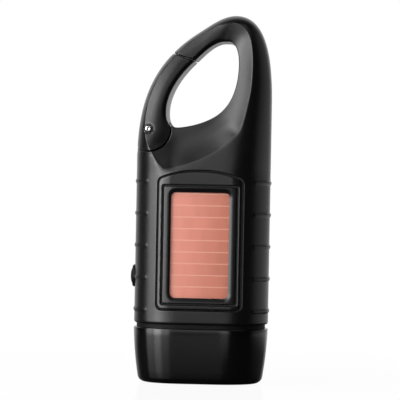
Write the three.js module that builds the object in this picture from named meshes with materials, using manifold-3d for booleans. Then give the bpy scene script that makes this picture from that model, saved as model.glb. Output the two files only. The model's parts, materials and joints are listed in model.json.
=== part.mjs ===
import * as THREE from 'three';
import { mergeVertices } from 'three/addons/utils/BufferGeometryUtils.js';
import Module from 'manifold-3d';

// Hand crank torch with a carabiner loop. Millimetres, +Z up, the torch stands on its lamp rim.
// The solar panel faces -Y, the crank is on the +Y side, the gate of the loop is on the -X side.

const wasm = await Module();
wasm.setup();

// Whole torch
const height = 115.2;
const halfWidth = 21.1;
const halfDepth = 15;
const loopHalfDepth = 9.6;
const flankRoll = 15;
const loopRoll = 6.6;
const taperShare = 0.573;
const taperStart = taperShare * height;
const rollPower = 2.3;
const wall = 2;
const fit = 0.3;
const overrun = 5;
const weld = 0.0005;
const outlineStep = 4;

// Lamp head
const headTop = 17.2;
const sealThickness = 1.3;
const sealInset = 1;
const headTaper = 1.3;
const headDepthTaper = 0.9;
const headRim = 3.1;
const rimFillet = 1.8;
const topBevel = 0.3;
const headPocket = 12.6;
const collarHeight = 1.2;
const collarWall = 1.2;
const collarGap = 0.6;
const cableHole = 5;
const lensRecess = 1;
const lensThickness = 1.6;
const ledBoardThickness = 1.2;
const ledRadius = 2.5;
const ledLength = 8.2;
const ledFlange = 0.4;
const ledFlangeThickness = 0.8;
const pocketHalfX = halfWidth - headTaper - headRim;
const pocketHalfY = halfDepth - headDepthTaper - headRim;
const cupMouthShare = 0.51;
const cupDepthShare = 0.8;
const cupPlaceShares = [[-0.395, -0.288], [0.395, -0.288], [0, 0.432]];

// Body and its cavity
const bodyBottom = headTop + sealThickness;
const panelThickness = 2.6;
const frontWall = 1.4;
const armThickness = 6;
const armGap = 0.4;
const backWall = 1.8;
const cavityRise = 2.5;
const pocketFloor = halfDepth - panelThickness;
const cavityFront = pocketFloor - frontWall;
const recessFloor = halfDepth - armThickness - armGap;
const cavityBack = recessFloor - backWall;
const cavityDepth = cavityFront + cavityBack;
const cavityTop = taperStart + cavityRise;

// Carabiner loop and gate
const pivotShares = [-0.801, 0.6858];
const gateEndReach = 1.55;
const gateGap = 0.35;
const gateLimit = THREE.MathUtils.degToRad(30);
const lugHalf = 3;
const lugReach = 0.2;
const lugGap = 0.5;
const gatePinRadius = 1;
const gatePinHead = 1.3;
const gatePinHeadThickness = 0.9;
const gatePinSunk = 0.5;
const springCoil = 1.9;
const springWire = 0.3;
const springTurns = 4;
const springHalf = 1.7;
const springPocket = 2.6;
const dishShare = 0.66;
const dishSagShare = 0.12;
const creaseStep = 0.35;
const lipEdge = 0.3;
const lipBevel = 1.5;

// Solar panel
const panelFoot = 4;
const panelMargin = 7.4;
const panelBottom = bodyBottom + panelFoot;
const panelTop = taperStart;
const panelHalf = halfWidth - panelMargin;
const panelArch = 2.3;
const panelCorner = 1.8;
const panelEdge = 0.5;
const frameSideMargin = 2.3;
const frameEndMargin = 1.9;
const frameHalf = panelHalf - frameSideMargin;
const frameBottom = panelBottom + frameEndMargin;
const frameTop = panelTop - panelArch - frameEndMargin;
const frameGroove = 0.45;
const frameCorner = 0.6;
const windowMargin = 2.35;
const windowHalf = frameHalf - windowMargin;
const windowBottom = frameBottom + windowMargin;
const windowTop = frameTop - windowMargin;
const windowCorner = 1.5;
const windowBevel = 0.7;
const windowRecess = 0.8;
const windowThickness = 0.6;
const cellThickness = 0.4;

// Grip ribs
const ribDrop = 3.2;
const ribLift = 0.3;
const ribCount = 5;
const ribLow = panelBottom + ribLift;
const ribPitch = (panelTop - ribDrop - ribLow) / (ribCount - 1);
const ribHeight = 1.4;
const ribProud = 0.35;
const ribReach = 4.1;

// Side switch
const buttonRadius = 3.55;
const buttonProud = 1.4;
const buttonTravel = 0.8;
const buttonFlange = 0.9;
const buttonFlangeThickness = 0.9;
const buttonStem = 1.2;
const switchDepth = 2.1;
const switchHalf = 3;
const switchClearance = 0.8;

// Crank
const sweepRise = 8.09;
const armSweep = (taperStart + sweepRise - bodyBottom - armGap) / 2;
const hubZ = bodyBottom + armGap + armSweep;
const armClearance = 1;
const armHubHalf = 7.6;
const armTipHalf = 6.3;
const armCorner = 2.4;
const armTipReach = 5;
const knobThrow = armSweep - armTipReach;
const slotHalf = 3.5;
const slotBottom = 4.6;
const shaftRadius = 2.5;
const crankScrewHead = 3.7;
const crankScrewHeadThickness = 1.5;
const crankScrewSunk = 0.4;
const bushWall = 1.2;
const bushFlange = 0.8;
const bushFlangeThickness = 0.6;

// Folding knob
const knobRadius = 3;
const knobEndGap = 0.9;
const spindleRadius = 1.3;
const spindleHead = 2.3;
const spindleHeadThickness = 1.2;
const knobPinRadius = 0.9;
const knobPinRun = 0.6;

// Gear train
const gearClearance = 0.24;
const gearFoot = 5.69;
const toothShare = 0.82;
const addendumShare = 0.8;
const dedendumShare = 1.2;
const pressureAngle = THREE.MathUtils.degToRad(20);
const crankTeeth = 44;
const pinionTeeth = 10;
const firstTeeth = 36;
const secondTeeth = 30;
const gearThicknessShare = 0.1125;
const gearSpacing = 0.5;
const gearThickness = gearThicknessShare * cavityDepth;
const gearStep = gearThickness + gearSpacing;
const axleRadius = 0.8;
const axleShoulder = 1.4;
const firstAngle = THREE.MathUtils.degToRad(-107);
const secondAngle = THREE.MathUtils.degToRad(10.5);
const rotorAngle = THREE.MathUtils.degToRad(125.5);
const crankBoss = 4.2;

// Gear plate and generator
const plateGap = 0.6;
const plateThickness = 1.2;
const plateMargin = 8.5;
const plateFoot = 6.5;
const plateRise = 6.1;
const plateHalf = halfWidth - plateMargin;
const plateLow = bodyBottom + plateFoot;
const plateHigh = hubZ + plateRise;
const plateCorner = 2;
const postMargin = 6.7;
const postInset = 2.1;
const postX = halfWidth - postMargin;
const postLowZ = plateLow + postInset;
const postHighZ = plateHigh - postInset;
const postRadius = 2.1;
const plateScrewRadius = 0.7;
const plateScrewHead = 1.5;
const plateScrewHeadThickness = 1;
const plateScrewLength = 6;
const canRadius = 8.3;
const canWall = 0.8;
const canClearance = 0.7;
const magnetRadius = 4.8;
const magnetLengthShare = 0.62;
const coilInner = 5.3;
const coilLengthShare = 0.52;
const rotorShaftRadius = 0.75;

// Battery, board and case screws
const cellRadius = 10;
const batteryThicknessShare = 0.18;
const batteryLift = 2;
const batteryThickness = batteryThicknessShare * cavityDepth;
const batteryZ = bodyBottom + batteryLift + cellRadius;
const clipHalf = 2.6;
const clipThickness = 0.5;
const boardMargin = 6.8;
const boardHeight = 13;
const boardDrop = 1.1;
const boardHalf = halfWidth - boardMargin;
const boardHigh = cavityTop - boardDrop;
const boardLow = boardHigh - boardHeight;
const boardThickness = 1.2;
const boardLift = 1.4;
const boardCorner = 1;
const standoffX = 7;
const standoffRise = 2.6;
const standoffZ = boardLow + standoffRise;
const standoffRadius = 1.6;
const capacitorRadius = 3;
const capacitorLength = 5.6;
const capacitorDrop = 4.5;
const caseScrewMargin = 5.7;
const caseScrewRise = 3.7;
const caseScrewHighMargin = 8.6;
const caseScrewDrop = 3.2;
const caseScrewX = halfWidth - caseScrewMargin;
const caseScrewLowZ = bodyBottom + caseScrewRise;
const caseScrewHighX = halfWidth - caseScrewHighMargin;
const caseScrewHighZ = boardHigh - caseScrewDrop;
const caseBoss = 2.1;
const caseScrewRadius = 0.9;
const caseScrewHead = 1.8;
const caseScrewHeadThickness = 1.2;
const caseScrewSunk = 0.4;
const caseScrewEnd = 5;

const leftFlankShare = 0.995;

// Outlines as shares of half width and height: each row is a curve's two handles and its end
const outlineShares = [
  [1, 0.777, 0.998, 0.812, 0.981, 0.842],
  [0.929, 0.955, 0.735, 1, 0.455, 1],
  [0.246, 1, 0.057, 0.971, -0.123, 0.95],
  [-0.829, 0.864, -1.009, 0.747, -leftFlankShare, 0.59],
];
const sideTopShare = 0.747;
const holeShares = [
  [-0.55, 0.777, -0.408, 0.826, -0.161, 0.869],
  [-0.043, 0.89, 0.13, 0.926, 0.294, 0.926],
  [0.31, 0.926, 0.34, 0.926, 0.36, 0.926],
  [0.455, 0.926, 0.512, 0.901, 0.512, 0.864],
  [0.512, 0.816, 0.45, 0.764, 0.256, 0.733],
  [0.104, 0.708, -0.166, 0.694, -0.365, 0.691],
  [-0.483, 0.691, -0.55, 0.703, -0.55, 0.7335],
];
const dishShares = [
  [0.441, 0.974], [0.635, 0.949], [0.701, 0.904], [0.706, 0.817], [0.654, 0.753], [0.559, 0.689],
  [0.427, 0.661], [0.242, 0.632], [-0.014, 0.606], [-0.27, 0.589], [-0.474, 0.581], [-0.611, 0.595],
  [-0.72, 0.626], [-0.829, 0.66], [-0.867, 0.7], [-0.82, 0.756], [-0.673, 0.824], [-0.441, 0.884],
  [-0.284, 0.913], [0.038, 0.956], [0.237, 0.97],
];
const pivotX = pivotShares[0] * halfWidth;
const pivotZ = pivotShares[1] * height;
const gateBand = holeShares[0][0] * halfWidth - pivotX;
const gateEnd = gateBand + gateEndReach;
const lugRadius = gateBand + lugReach;
const domeShare = 0.72;
const rimShares = [[1, 0], [0.4, 0.15], [0.12, 0.45], [0, 1]];
const holeCentreShares = [0, 0.8];
const spineTopShares = [0.2, 0.83];
const splitShares = [[-0.493, 0.894], [-0.152, 0.873]];
const ringShares = [0, 0.025, 0.08, 0.17, 0.32, 0.55, 0.8];
const cavityRingShares = [0, 0.05, 0.16, 0.38, 0.8];

// Facets
const roundSteps = 16;
const smallSteps = 8;
const arcSteps = 5;
const ribEndSteps = 3;
const cornerSteps = 3;
const sectionSteps = 8;

const torch = new THREE.Group();

// Finishes
const finishes = {
  blackShell: { color: 0x1b1b1c, roughness: 0.45, metalness: 0 },
  glossBlack: { color: 0x0b0b0c, roughness: 0.12, metalness: 0 },
  bezelBlack: { color: 0x121213, roughness: 0.3, metalness: 0 },
  sealBlack: { color: 0x050505, roughness: 0.8, metalness: 0 },
  copperCell: { color: 0xd08672, roughness: 0.4, metalness: 0.2 },
  clear: { color: 0xf4f6f8, roughness: 0.05, metalness: 0, transparent: true, opacity: 0.3 },
  chrome: { color: 0xdfe2e5, roughness: 0.08, metalness: 1 },
  steel: { color: 0xb4b7ba, roughness: 0.25, metalness: 1 },
  brass: { color: 0xc2a15a, roughness: 0.35, metalness: 1 },
  whitePlastic: { color: 0xe8e6df, roughness: 0.5, metalness: 0 },
  board: { color: 0x1f5f38, roughness: 0.6, metalness: 0 },
  magnet: { color: 0x55585c, roughness: 0.5, metalness: 0.6 },
  copperWire: { color: 0xa8572c, roughness: 0.4, metalness: 0.8 },
  led: { color: 0xf8f8f0, roughness: 0.1, metalness: 0, transparent: true, opacity: 0.6 },
};

// A closed geometry as a solid that can be cut and joined
function solid(geometry) {
  const bare = geometry.clone();
  bare.deleteAttribute('normal');
  bare.deleteAttribute('uv');
  const merged = mergeVertices(bare, weld);
  return new wasm.Manifold(new wasm.Mesh({
    numProp: 3,
    vertProperties: new Float32Array(merged.attributes.position.array),
    triVerts: new Uint32Array(merged.index.array),
  }));
}

// The geometry of a cut or joined solid
function geometryOf(body) {
  const mesh = body.getMesh();
  const geometry = new THREE.BufferGeometry();
  geometry.setAttribute('position', new THREE.BufferAttribute(new Float32Array(mesh.vertProperties), 3));
  geometry.setIndex(new THREE.BufferAttribute(new Uint32Array(mesh.triVerts), 1));
  geometry.computeVertexNormals();
  return geometry;
}

// One named piece of the torch
function piece(name, body, finish) {
  const mesh = new THREE.Mesh(geometryOf(body), new THREE.MeshStandardMaterial(finishes[finish]));
  mesh.name = name;
  torch.add(mesh);
}

// An outline in X and Z, given thickness from one Y to another
function slab(shape, yFrom, yTo, curveSegments = roundSteps) {
  const depth = yTo - yFrom;
  const geometry = new THREE.ExtrudeGeometry(shape, { depth, bevelEnabled: false, curveSegments });
  geometry.rotateX(Math.PI / 2);
  geometry.translate(0, yTo, 0);
  return solid(geometry);
}

// A box between two corners
function block(x, y, z) {
  const geometry = new THREE.BoxGeometry(x[1] - x[0], y[1] - y[0], z[1] - z[0]);
  geometry.translate((x[0] + x[1]) / 2, (y[0] + y[1]) / 2, (z[0] + z[1]) / 2);
  return solid(geometry);
}

// A cylinder along Y
function disc(x, z, radius, yFrom, yTo, steps = roundSteps) {
  const geometry = new THREE.CylinderGeometry(radius, radius, yTo - yFrom, steps);
  geometry.translate(x, (yFrom + yTo) / 2, z);
  return solid(geometry);
}

// A turned piece: pairs of radius and place along Y, set at x and z
function turned(x, z, profile, steps = roundSteps) {
  const geometry = new THREE.LatheGeometry(profile.map(([r, y]) => new THREE.Vector2(r, y)), steps);
  const body = solid(geometry);
  const upright = body.volume() < 0 ? solid(flipped(geometry)) : body;
  return upright.translate([x, 0, z]);
}

// The same surface with its faces turned over
function flipped(geometry) {
  const copy = geometry.clone();
  const index = copy.index.array;
  for (let i = 0; i < index.length; i += 3) {
    [index[i], index[i + 1]] = [index[i + 1], index[i]];
  }
  return copy;
}

// A rectangle with round corners
function roundedRect(x0, x1, z0, z1, radius) {
  const shape = new THREE.Shape();
  shape.moveTo(x0 + radius, z0);
  shape.absarc(x1 - radius, z0 + radius, radius, -Math.PI / 2, 0);
  shape.absarc(x1 - radius, z1 - radius, radius, 0, Math.PI / 2);
  shape.absarc(x0 + radius, z1 - radius, radius, Math.PI / 2, Math.PI);
  shape.absarc(x0 + radius, z0 + radius, radius, Math.PI, 3 * Math.PI / 2);
  shape.closePath();
  return shape;
}

function clamp(value) {
  return Math.min(1, Math.max(0, value));
}

function ease(share) {
  return share * share * (3 - 2 * share);
}

// How far the taper toward the loop's crown has gone at a height, from 0 to 1
function taperAt(z) {
  return ease(clamp((z - taperStart) / (height - taperStart)));
}

function depthAt(z) {
  return halfDepth + (loopHalfDepth - halfDepth) * taperAt(z);
}

function rollAt(z) {
  return flankRoll + (loopRoll - flankRoll) * Math.sqrt(taperAt(z));
}

// Depth of a rolled edge as a share of full depth, at a distance in from the outline
function rolled(distance, width) {
  return (1 - (1 - clamp(distance / width)) ** rollPower) ** (1 / rollPower);
}

// The outer outline, from the right flank over the crown to the left flank, open at the bottom
function sideOutline(bottom) {
  const points = [new THREE.Vector2(halfWidth, bottom)];
  const sideTop = sideTopShare * height;
  for (let i = 0; i < arcSteps; i++) {
    points.push(new THREE.Vector2(halfWidth, taperStart + (sideTop - taperStart) * i / arcSteps));
  }
  let start = new THREE.Vector2(halfWidth, sideTop);
  points.push(start);
  for (const [ax, az, bx, bz, ex, ez] of outlineShares) {
    const end = new THREE.Vector2(ex * halfWidth, ez * height);
    const curve = new THREE.CubicBezierCurve(start,
      new THREE.Vector2(ax * halfWidth, az * height), new THREE.Vector2(bx * halfWidth, bz * height), end);
    const steps = Math.max(arcSteps, Math.round(curve.getLength() / outlineStep));
    points.push(...curve.getPoints(steps).slice(1));
    start = end;
  }
  points.push(new THREE.Vector2(start.x, bottom));
  return points;
}

const outerOutline = sideOutline(0);

// Distance from a place to the outer outline
function edgeDistance(x, z) {
  const line = new THREE.Line3();
  const place = new THREE.Vector3(x, z, 0);
  const nearest = new THREE.Vector3();
  let least = Infinity;
  for (let i = 1; i < outerOutline.length; i++) {
    line.start.set(outerOutline[i - 1].x, outerOutline[i - 1].y, 0);
    line.end.set(outerOutline[i].x, outerOutline[i].y, 0);
    line.closestPointToPoint(place, true, nearest);
    least = Math.min(least, nearest.distanceTo(place));
  }
  return least;
}

// Half thickness of the torch at a place in X and Z, less an inset all round
function surfaceDepth(x, z, inset = 0) {
  return (depthAt(z) - inset) * rolled(edgeDistance(x, z) - inset, rollAt(z));
}

// Moves each point of an open outline along its inward normal
function insetOutline(points, inset) {
  return points.map((point, i) => {
    const before = points[Math.max(0, i - 1)];
    const after = points[Math.min(points.length - 1, i + 1)];
    const along = after.clone().sub(before).normalize();
    return new THREE.Vector2(point.x - along.y * inset, point.y + along.x * inset);
  });
}

// One half of the rolled body: rings run from the outline toward a spine, deeper as they go
function pillow(side, inset = 0, shares = ringShares) {
  const edge = insetOutline(outerOutline, inset);
  const spineX = spineTopShares[0] * halfWidth;
  const spineZ = spineTopShares[1] * height;
  const positions = [];
  for (const share of shares) {
    for (const point of edge) {
      const targetZ = Math.min(point.y, spineZ);
      const targetX = spineX * clamp((targetZ - taperStart) / (spineZ - taperStart));
      const x = point.x + (targetX - point.x) * share;
      const z = point.y + (targetZ - point.y) * share;
      const distance = share === 0 ? 0 : Math.max(0, edgeDistance(x, z) - inset);
      positions.push(x, side * (depthAt(z) - inset) * rolled(distance, rollAt(z)), z);
    }
  }
  const count = edge.length;
  const index = [];
  const face = (a, b, c) => index.push(...(side < 0 ? [a, b, c] : [a, c, b]));
  for (let ring = 1; ring < shares.length; ring++) {
    for (let i = 0; i < count; i++) {
      const next = (i + 1) % count;
      const outer = (ring - 1) * count;
      const inner = ring * count;
      face(outer + i, outer + next, inner + next);
      face(outer + i, inner + next, inner + i);
    }
  }
  const last = (shares.length - 1) * count;
  const ringPoints = (first) => edge.map((_, i) =>
    new THREE.Vector2(positions[3 * (first + i)], positions[3 * (first + i) + 2]));
  for (const [a, b, c] of THREE.ShapeUtils.triangulateShape(ringPoints(last), [])) {
    face(last + a, last + b, last + c);
  }
  for (const [a, b, c] of THREE.ShapeUtils.triangulateShape(ringPoints(0), [])) {
    face(a, c, b);
  }
  const geometry = new THREE.BufferGeometry();
  geometry.setAttribute('position', new THREE.Float32BufferAttribute(positions, 3));
  geometry.setIndex(index);
  return solid(geometry);
}

// The opening of the loop
function holeShape() {
  const shape = new THREE.Shape();
  const end = holeShares[holeShares.length - 1];
  shape.moveTo(end[4] * halfWidth, end[5] * height);
  for (const [ax, az, bx, bz, ex, ez] of holeShares) {
    shape.bezierCurveTo(ax * halfWidth, az * height, bx * halfWidth, bz * height,
      ex * halfWidth, ez * height);
  }
  return shape;
}

// Where the line from a place to the middle of the opening meets the opening's edge
function edgeOfHole(place, centre, edge) {
  const along = centre.clone().sub(place);
  let share = 1;
  for (let i = 0; i < edge.length; i++) {
    const start = edge[i];
    const side = edge[(i + 1) % edge.length].clone().sub(start);
    const across = along.x * side.y - along.y * side.x;
    const toward = start.clone().sub(place);
    const onLine = (toward.x * side.y - toward.y * side.x) / across;
    const onEdge = (toward.x * along.y - toward.y * along.x) / across;
    if (onEdge >= 0 && onEdge <= 1 && onLine > 0) share = Math.min(share, onLine);
  }
  return place.clone().addScaledVector(along, share);
}

// The dish round the opening, as a solid to cut away: from its crease it falls toward the opening
function dishCutter(side) {
  const creaseCurve = new THREE.CatmullRomCurve3(
    dishShares.map(([x, z]) => new THREE.Vector3(x * halfWidth, z * height, 0)), true);
  const crease = creaseCurve.getSpacedPoints(2 * roundSteps).slice(0, -1);
  const centre = new THREE.Vector2(holeCentreShares[0] * halfWidth, holeCentreShares[1] * height);
  const edge = holeShape().getPoints(arcSteps);
  const rings = [[], [], [], [], []];
  for (const { x, y: z } of crease) {
    const place = new THREE.Vector2(x, z);
    const depth = surfaceDepth(x, z) - creaseStep;
    const lip = edgeOfHole(place, centre, edge).lerp(centre, dishSagShare);
    const lipDepth = dishShare * depthAt(lip.y);
    rings[0].push([x, side * (halfDepth + overrun), z]);
    rings[1].push([x, side * depth, z]);
    for (const [ring, share] of [[2, 1 / 3], [3, 2 / 3], [4, 1]]) {
      const on = place.clone().lerp(lip, share);
      const sag = dishSagShare * Math.max(0, depth - lipDepth) * Math.sin(Math.PI * share);
      rings[ring].push([on.x, side * (depth + (lipDepth - depth) * share - sag), on.y]);
    }
  }
  return loft(rings);
}

// The soft edge of the opening, widest on the gate and the arm above it
function lipCutter(side) {
  const edge = holeShape().getPoints(arcSteps).slice(0, -1);
  const rings = [[], [], []];
  edge.forEach((point, i) => {
    const after = edge[(i + 1) % edge.length];
    const before = edge[(i + edge.length - 1) % edge.length];
    const along = after.clone().sub(before).normalize();
    const outward = new THREE.Vector2(-along.y, along.x);
    const leaning = clamp(outward.y / 2 - outward.x);
    const width = lipEdge + (lipBevel - lipEdge) * leaning;
    const depth = dishShare * depthAt(point.y);
    const outer = point.clone().addScaledVector(outward, width);
    rings[0].push([point.x, side * (depth - width), point.y]);
    rings[1].push([outer.x, side * (depth + width / 2), outer.y]);
    rings[2].push([outer.x, side * (halfDepth + overrun), outer.y]);
  });
  return loft(rings);
}

// A solid through rings of as many points each, capped by flat fans at both ends
function loft(rings, flip = false) {
  const count = rings[0].length;
  const positions = rings.flat(2);
  const index = [];
  const face = (a, b, c) => index.push(...(flip ? [a, c, b] : [a, b, c]));
  for (let ring = 1; ring < rings.length; ring++) {
    for (let i = 0; i < count; i++) {
      const next = (i + 1) % count;
      const lower = (ring - 1) * count;
      const upper = ring * count;
      face(lower + i, lower + next, upper + next);
      face(lower + i, upper + next, upper + i);
    }
  }
  for (const end of [0, rings.length - 1]) {
    const middle = positions.length / 3;
    for (let axis = 0; axis < 3; axis++) {
      positions.push(rings[end].reduce((sum, point) => sum + point[axis], 0) / count);
    }
    for (let i = 0; i < count; i++) {
      const next = (i + 1) % count;
      if (end === 0) face(middle, end * count + next, end * count + i);
      else face(middle, end * count + i, end * count + next);
    }
  }
  const geometry = new THREE.BufferGeometry();
  geometry.setAttribute('position', new THREE.Float32BufferAttribute(positions, 3));
  geometry.setIndex(index);
  const body = solid(geometry);
  return body.volume() < 0 ? loft(rings, !flip) : body;
}

// Cross-section of the body in X and Y, with an inset, as a ring at height z
function section(inset, z, halfX = halfWidth, halfY = halfDepth) {
  const reachX = halfX - inset;
  const reachY = halfY - inset;
  const flat = Math.max(0, halfWidth - flankRoll - inset);
  const ring = [];
  const corners = [[1, 1], [-1, 1], [-1, -1], [1, -1]];
  corners.forEach(([signX, signY], quarter) => {
    for (let i = 0; i <= sectionSteps; i++) {
      const turn = (quarter % 2 ? sectionSteps - i : i) / sectionSteps * Math.PI / 2;
      const across = Math.cos(turn) ** (2 / rollPower);
      const out = Math.sin(turn) ** (2 / rollPower);
      if (quarter % 2 && i === sectionSteps) continue;
      ring.push([signX * (flat + (reachX - flat) * across), signY * reachY * out, z]);
    }
  });
  return ring;
}

// A straight prism of that cross-section
function sectionPrism(inset, zFrom, zTo) {
  return loft([section(inset, zFrom), section(inset, zTo)]);
}

// Where the gate is cut out of the loop: the round end at the pivot and the slanted split above
function gateShape(grow) {
  const [outer, inner] = splitShares.map(([x, z]) => new THREE.Vector2(x * halfWidth, z * height));
  const along = inner.clone().sub(outer).normalize();
  const up = new THREE.Vector2(-along.y, along.x);
  const reach = armSweep;
  const left = outer.clone().addScaledVector(along, -reach).addScaledVector(up, grow);
  const right = inner.clone().addScaledVector(along, wall).addScaledVector(up, grow);
  const shape = new THREE.Shape();
  shape.moveTo(left.x, left.y);
  shape.lineTo(left.x, pivotZ);
  shape.lineTo(pivotX - gateEnd - grow, pivotZ);
  shape.absarc(pivotX, pivotZ, gateEnd + grow, Math.PI, 2 * Math.PI + gateLimit);
  shape.lineTo(right.x, right.y);
  shape.closePath();
  return shape;
}

// Everything that both halves of the loop share: opening, dish and gate seat
const cutDepth = halfDepth + overrun;
const holeCut = slab(holeShape(), -cutDepth, cutDepth, arcSteps);

// A grip rib seen from the front, with a round inner end
function ribShape(flank, z) {
  const inner = flank * (halfWidth - ribReach);
  const outer = flank * (halfWidth + overrun);
  const half = ribHeight / 2;
  const shape = new THREE.Shape();
  shape.moveTo(outer, z + flank * half);
  shape.absarc(inner, z, half, flank * Math.PI / 2, flank * 3 * Math.PI / 2, flank < 0);
  shape.lineTo(outer, z - flank * half);
  shape.closePath();
  return shape;
}

// One half of the body, before its own cuts
function halfBody(side) {
  const grown = pillow(side, -ribProud);
  let body = pillow(side);
  for (let i = 0; i < ribCount; i++) {
    const z = ribLow + i * ribPitch;
    for (const flank of [-1, 1]) {
      body = body.add(grown.intersect(slab(ribShape(flank, z), -cutDepth, cutDepth, ribEndSteps)));
    }
  }
  return body.subtract(holeCut).subtract(dishCutter(side)).subtract(lipCutter(side));
}

// The hinge lug that stands in the gate's slot
function hingeLug(side) {
  const neckTop = pivotZ - gateEnd * Math.sin(gateLimit / 2);
  const reach = gateEnd + 2 * gateGap;
  const lug = disc(pivotX, pivotZ, lugRadius, -lugHalf, lugHalf)
    .add(disc(pivotX, pivotZ, reach, -lugHalf, lugHalf)
      .subtract(block([pivotX - reach - overrun, pivotX + reach + overrun], [-cutDepth, cutDepth],
        [neckTop, neckTop + 2 * reach])));
  return lug.intersect(pillow(side));
}

// Body half with cavity, gate seat, lug and case screw bosses
function shellHalf(side) {
  const deepest = side < 0 ? cavityFront : cavityBack;
  const cavityY = side < 0 ? [-deepest, overrun] : [-overrun, deepest];
  const cavity = pillow(side, wall, cavityRingShares)
    .add(pillow(-side, wall, cavityRingShares))
    .intersect(block([-halfWidth, halfWidth], cavityY, [-overrun, cavityTop]));
  let shell = halfBody(side)
    .subtract(cavity)
    .subtract(slab(gateShape(gateGap), -cutDepth, cutDepth))
    .add(hingeLug(side))
    .subtract(disc(pivotX, pivotZ, springPocket, -springHalf - fit, springHalf + fit))
    .subtract(disc(pivotX, pivotZ, gatePinRadius + fit, -cutDepth, cutDepth));
  const floor = side < 0 ? [-cavityFront, 0] : [0, cavityBack];
  for (const [x, z] of caseScrewPlaces) {
    shell = shell.add(disc(x, z, caseBoss, ...floor, 2 * smallSteps - arcSteps).intersect(pillow(side)));
  }
  return shell.subtract(block([-halfWidth - overrun, halfWidth + overrun], [-cutDepth, cutDepth],
    [-overrun, bodyBottom]));
}

const caseScrewPlaces = [
  [-caseScrewX, caseScrewLowZ], [caseScrewX, caseScrewLowZ],
  [-caseScrewHighX, caseScrewHighZ], [caseScrewHighX, caseScrewHighZ],
];
const caseScrewSeat = recessFloor - caseScrewSunk - caseScrewHeadThickness;
const caseScrewTip = caseScrewEnd - cavityFront;

// Places of the switch's pieces, from the flank in
const buttonBore = buttonRadius + fit;
const flangeRadius = buttonRadius + buttonFlange;
const buttonX = -halfWidth * leftFlankShare;
const flangeBack = buttonX + wall + fit + buttonFlangeThickness;
const stemEnd = flangeBack + wall / 2;
const switchFace = stemEnd + buttonTravel + fit;
const switchBack = switchFace + switchDepth;
const buttonZ = postLowZ + postRadius + switchClearance + switchHalf;

// The gears are as large as the room beside the switch and below the hub allows, in modules
const stepTeeth = (crankTeeth + pinionTeeth) / 2;
const firstTipTeeth = firstTeeth / 2 + addendumShare;
const sideRoom = -switchBack - gearClearance;
const lowRoom = hubZ - bodyBottom - gearFoot;
const gearModule = Math.min(
  sideRoom / (firstTipTeeth - stepTeeth * Math.cos(firstAngle)),
  lowRoom / (firstTipTeeth - stepTeeth * Math.sin(firstAngle)));

// Places of the gears, from the crank's hub down to the rotor
const pinionPitch = gearModule * pinionTeeth / 2;
function nextCentre(from, teeth, angle) {
  const distance = gearModule * teeth / 2 + pinionPitch;
  return { x: from.x + distance * Math.cos(angle), z: from.z + distance * Math.sin(angle) };
}
const hub = { x: 0, z: hubZ };
const firstCentre = nextCentre(hub, crankTeeth, firstAngle);
const secondCentre = nextCentre(firstCentre, firstTeeth, secondAngle);
const rotorCentre = nextCentre(secondCentre, secondTeeth, rotorAngle);
const crankLayer = cavityBack - armGap - gearThickness;
const firstLayer = crankLayer - gearStep;
const secondLayer = firstLayer - gearStep;
const plateTop = secondLayer - plateGap;
const plateBottom = plateTop - plateThickness;

// Turns a driven gear so that its gap meets the driver's tooth on the line of centres
function meshPhase(driverTeeth, driverPhase, drivenTeeth, angle) {
  const driverShare = driverTeeth * (angle - driverPhase) / (2 * Math.PI);
  return angle + Math.PI - 2 * Math.PI / drivenTeeth * (1 / 2 - driverShare);
}

function involute(angle) {
  return Math.tan(angle) - angle;
}

// A gear's outline with involute flanks
function gearShape(centre, teeth, phase) {
  const pitch = gearModule * teeth / 2;
  const base = pitch * Math.cos(pressureAngle);
  const tip = pitch + addendumShare * gearModule;
  const root = pitch - dedendumShare * gearModule;
  const halfTooth = toothShare * Math.PI / teeth / 2;
  const spread = (radius) => halfTooth + involute(pressureAngle)
    - involute(Math.acos(Math.min(1, base / Math.max(base, radius))));
  const shape = new THREE.Shape();
  for (let i = 0; i < teeth; i++) {
    const middle = phase + 2 * Math.PI * i / teeth;
    const flank = teeth > pinionTeeth
      ? [[root, spread(root)], [tip, spread(tip)]]
      : [[root, spread(root)], [pitch, spread(pitch)], [tip, spread(tip)]];
    const rising = flank.map(([radius, half]) => [radius, middle - half]);
    const falling = flank.map(([radius, half]) => [radius, middle + half]).reverse();
    for (const [radius, angle] of [...rising, ...falling]) {
      const x = centre.x + radius * Math.cos(angle);
      const z = centre.z + radius * Math.sin(angle);
      if (shape.curves.length === 0 && shape.currentPoint.length() === 0) shape.moveTo(x, z);
      else shape.lineTo(x, z);
    }
  }
  return shape;
}

// Two gears of one moulding, the wheel in front of its pinion, on a bore
function compoundGear(centre, wheelTeeth, phase, wheelLayer) {
  const pinionLayer = wheelLayer + gearStep;
  const wheel = slab(gearShape(centre, wheelTeeth, phase), wheelLayer, wheelLayer + gearThickness);
  const pinion = slab(gearShape(centre, pinionTeeth, phase),
    wheelLayer + gearThickness / 2, pinionLayer + gearThickness);
  return wheel.add(pinion)
    .subtract(disc(centre.x, centre.z, axleRadius + fit, -cutDepth, cutDepth, smallSteps));
}

const crankPhase = 0;
const firstPhase = meshPhase(crankTeeth, crankPhase, pinionTeeth, firstAngle);
const secondPhase = meshPhase(firstTeeth, firstPhase, pinionTeeth, secondAngle);
const rotorPhase = meshPhase(secondTeeth, secondPhase, pinionTeeth, rotorAngle);

const postPlaces = [[-postX, postLowZ], [postX, postLowZ], [-postX, postHighZ], [postX, postHighZ]];

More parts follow.
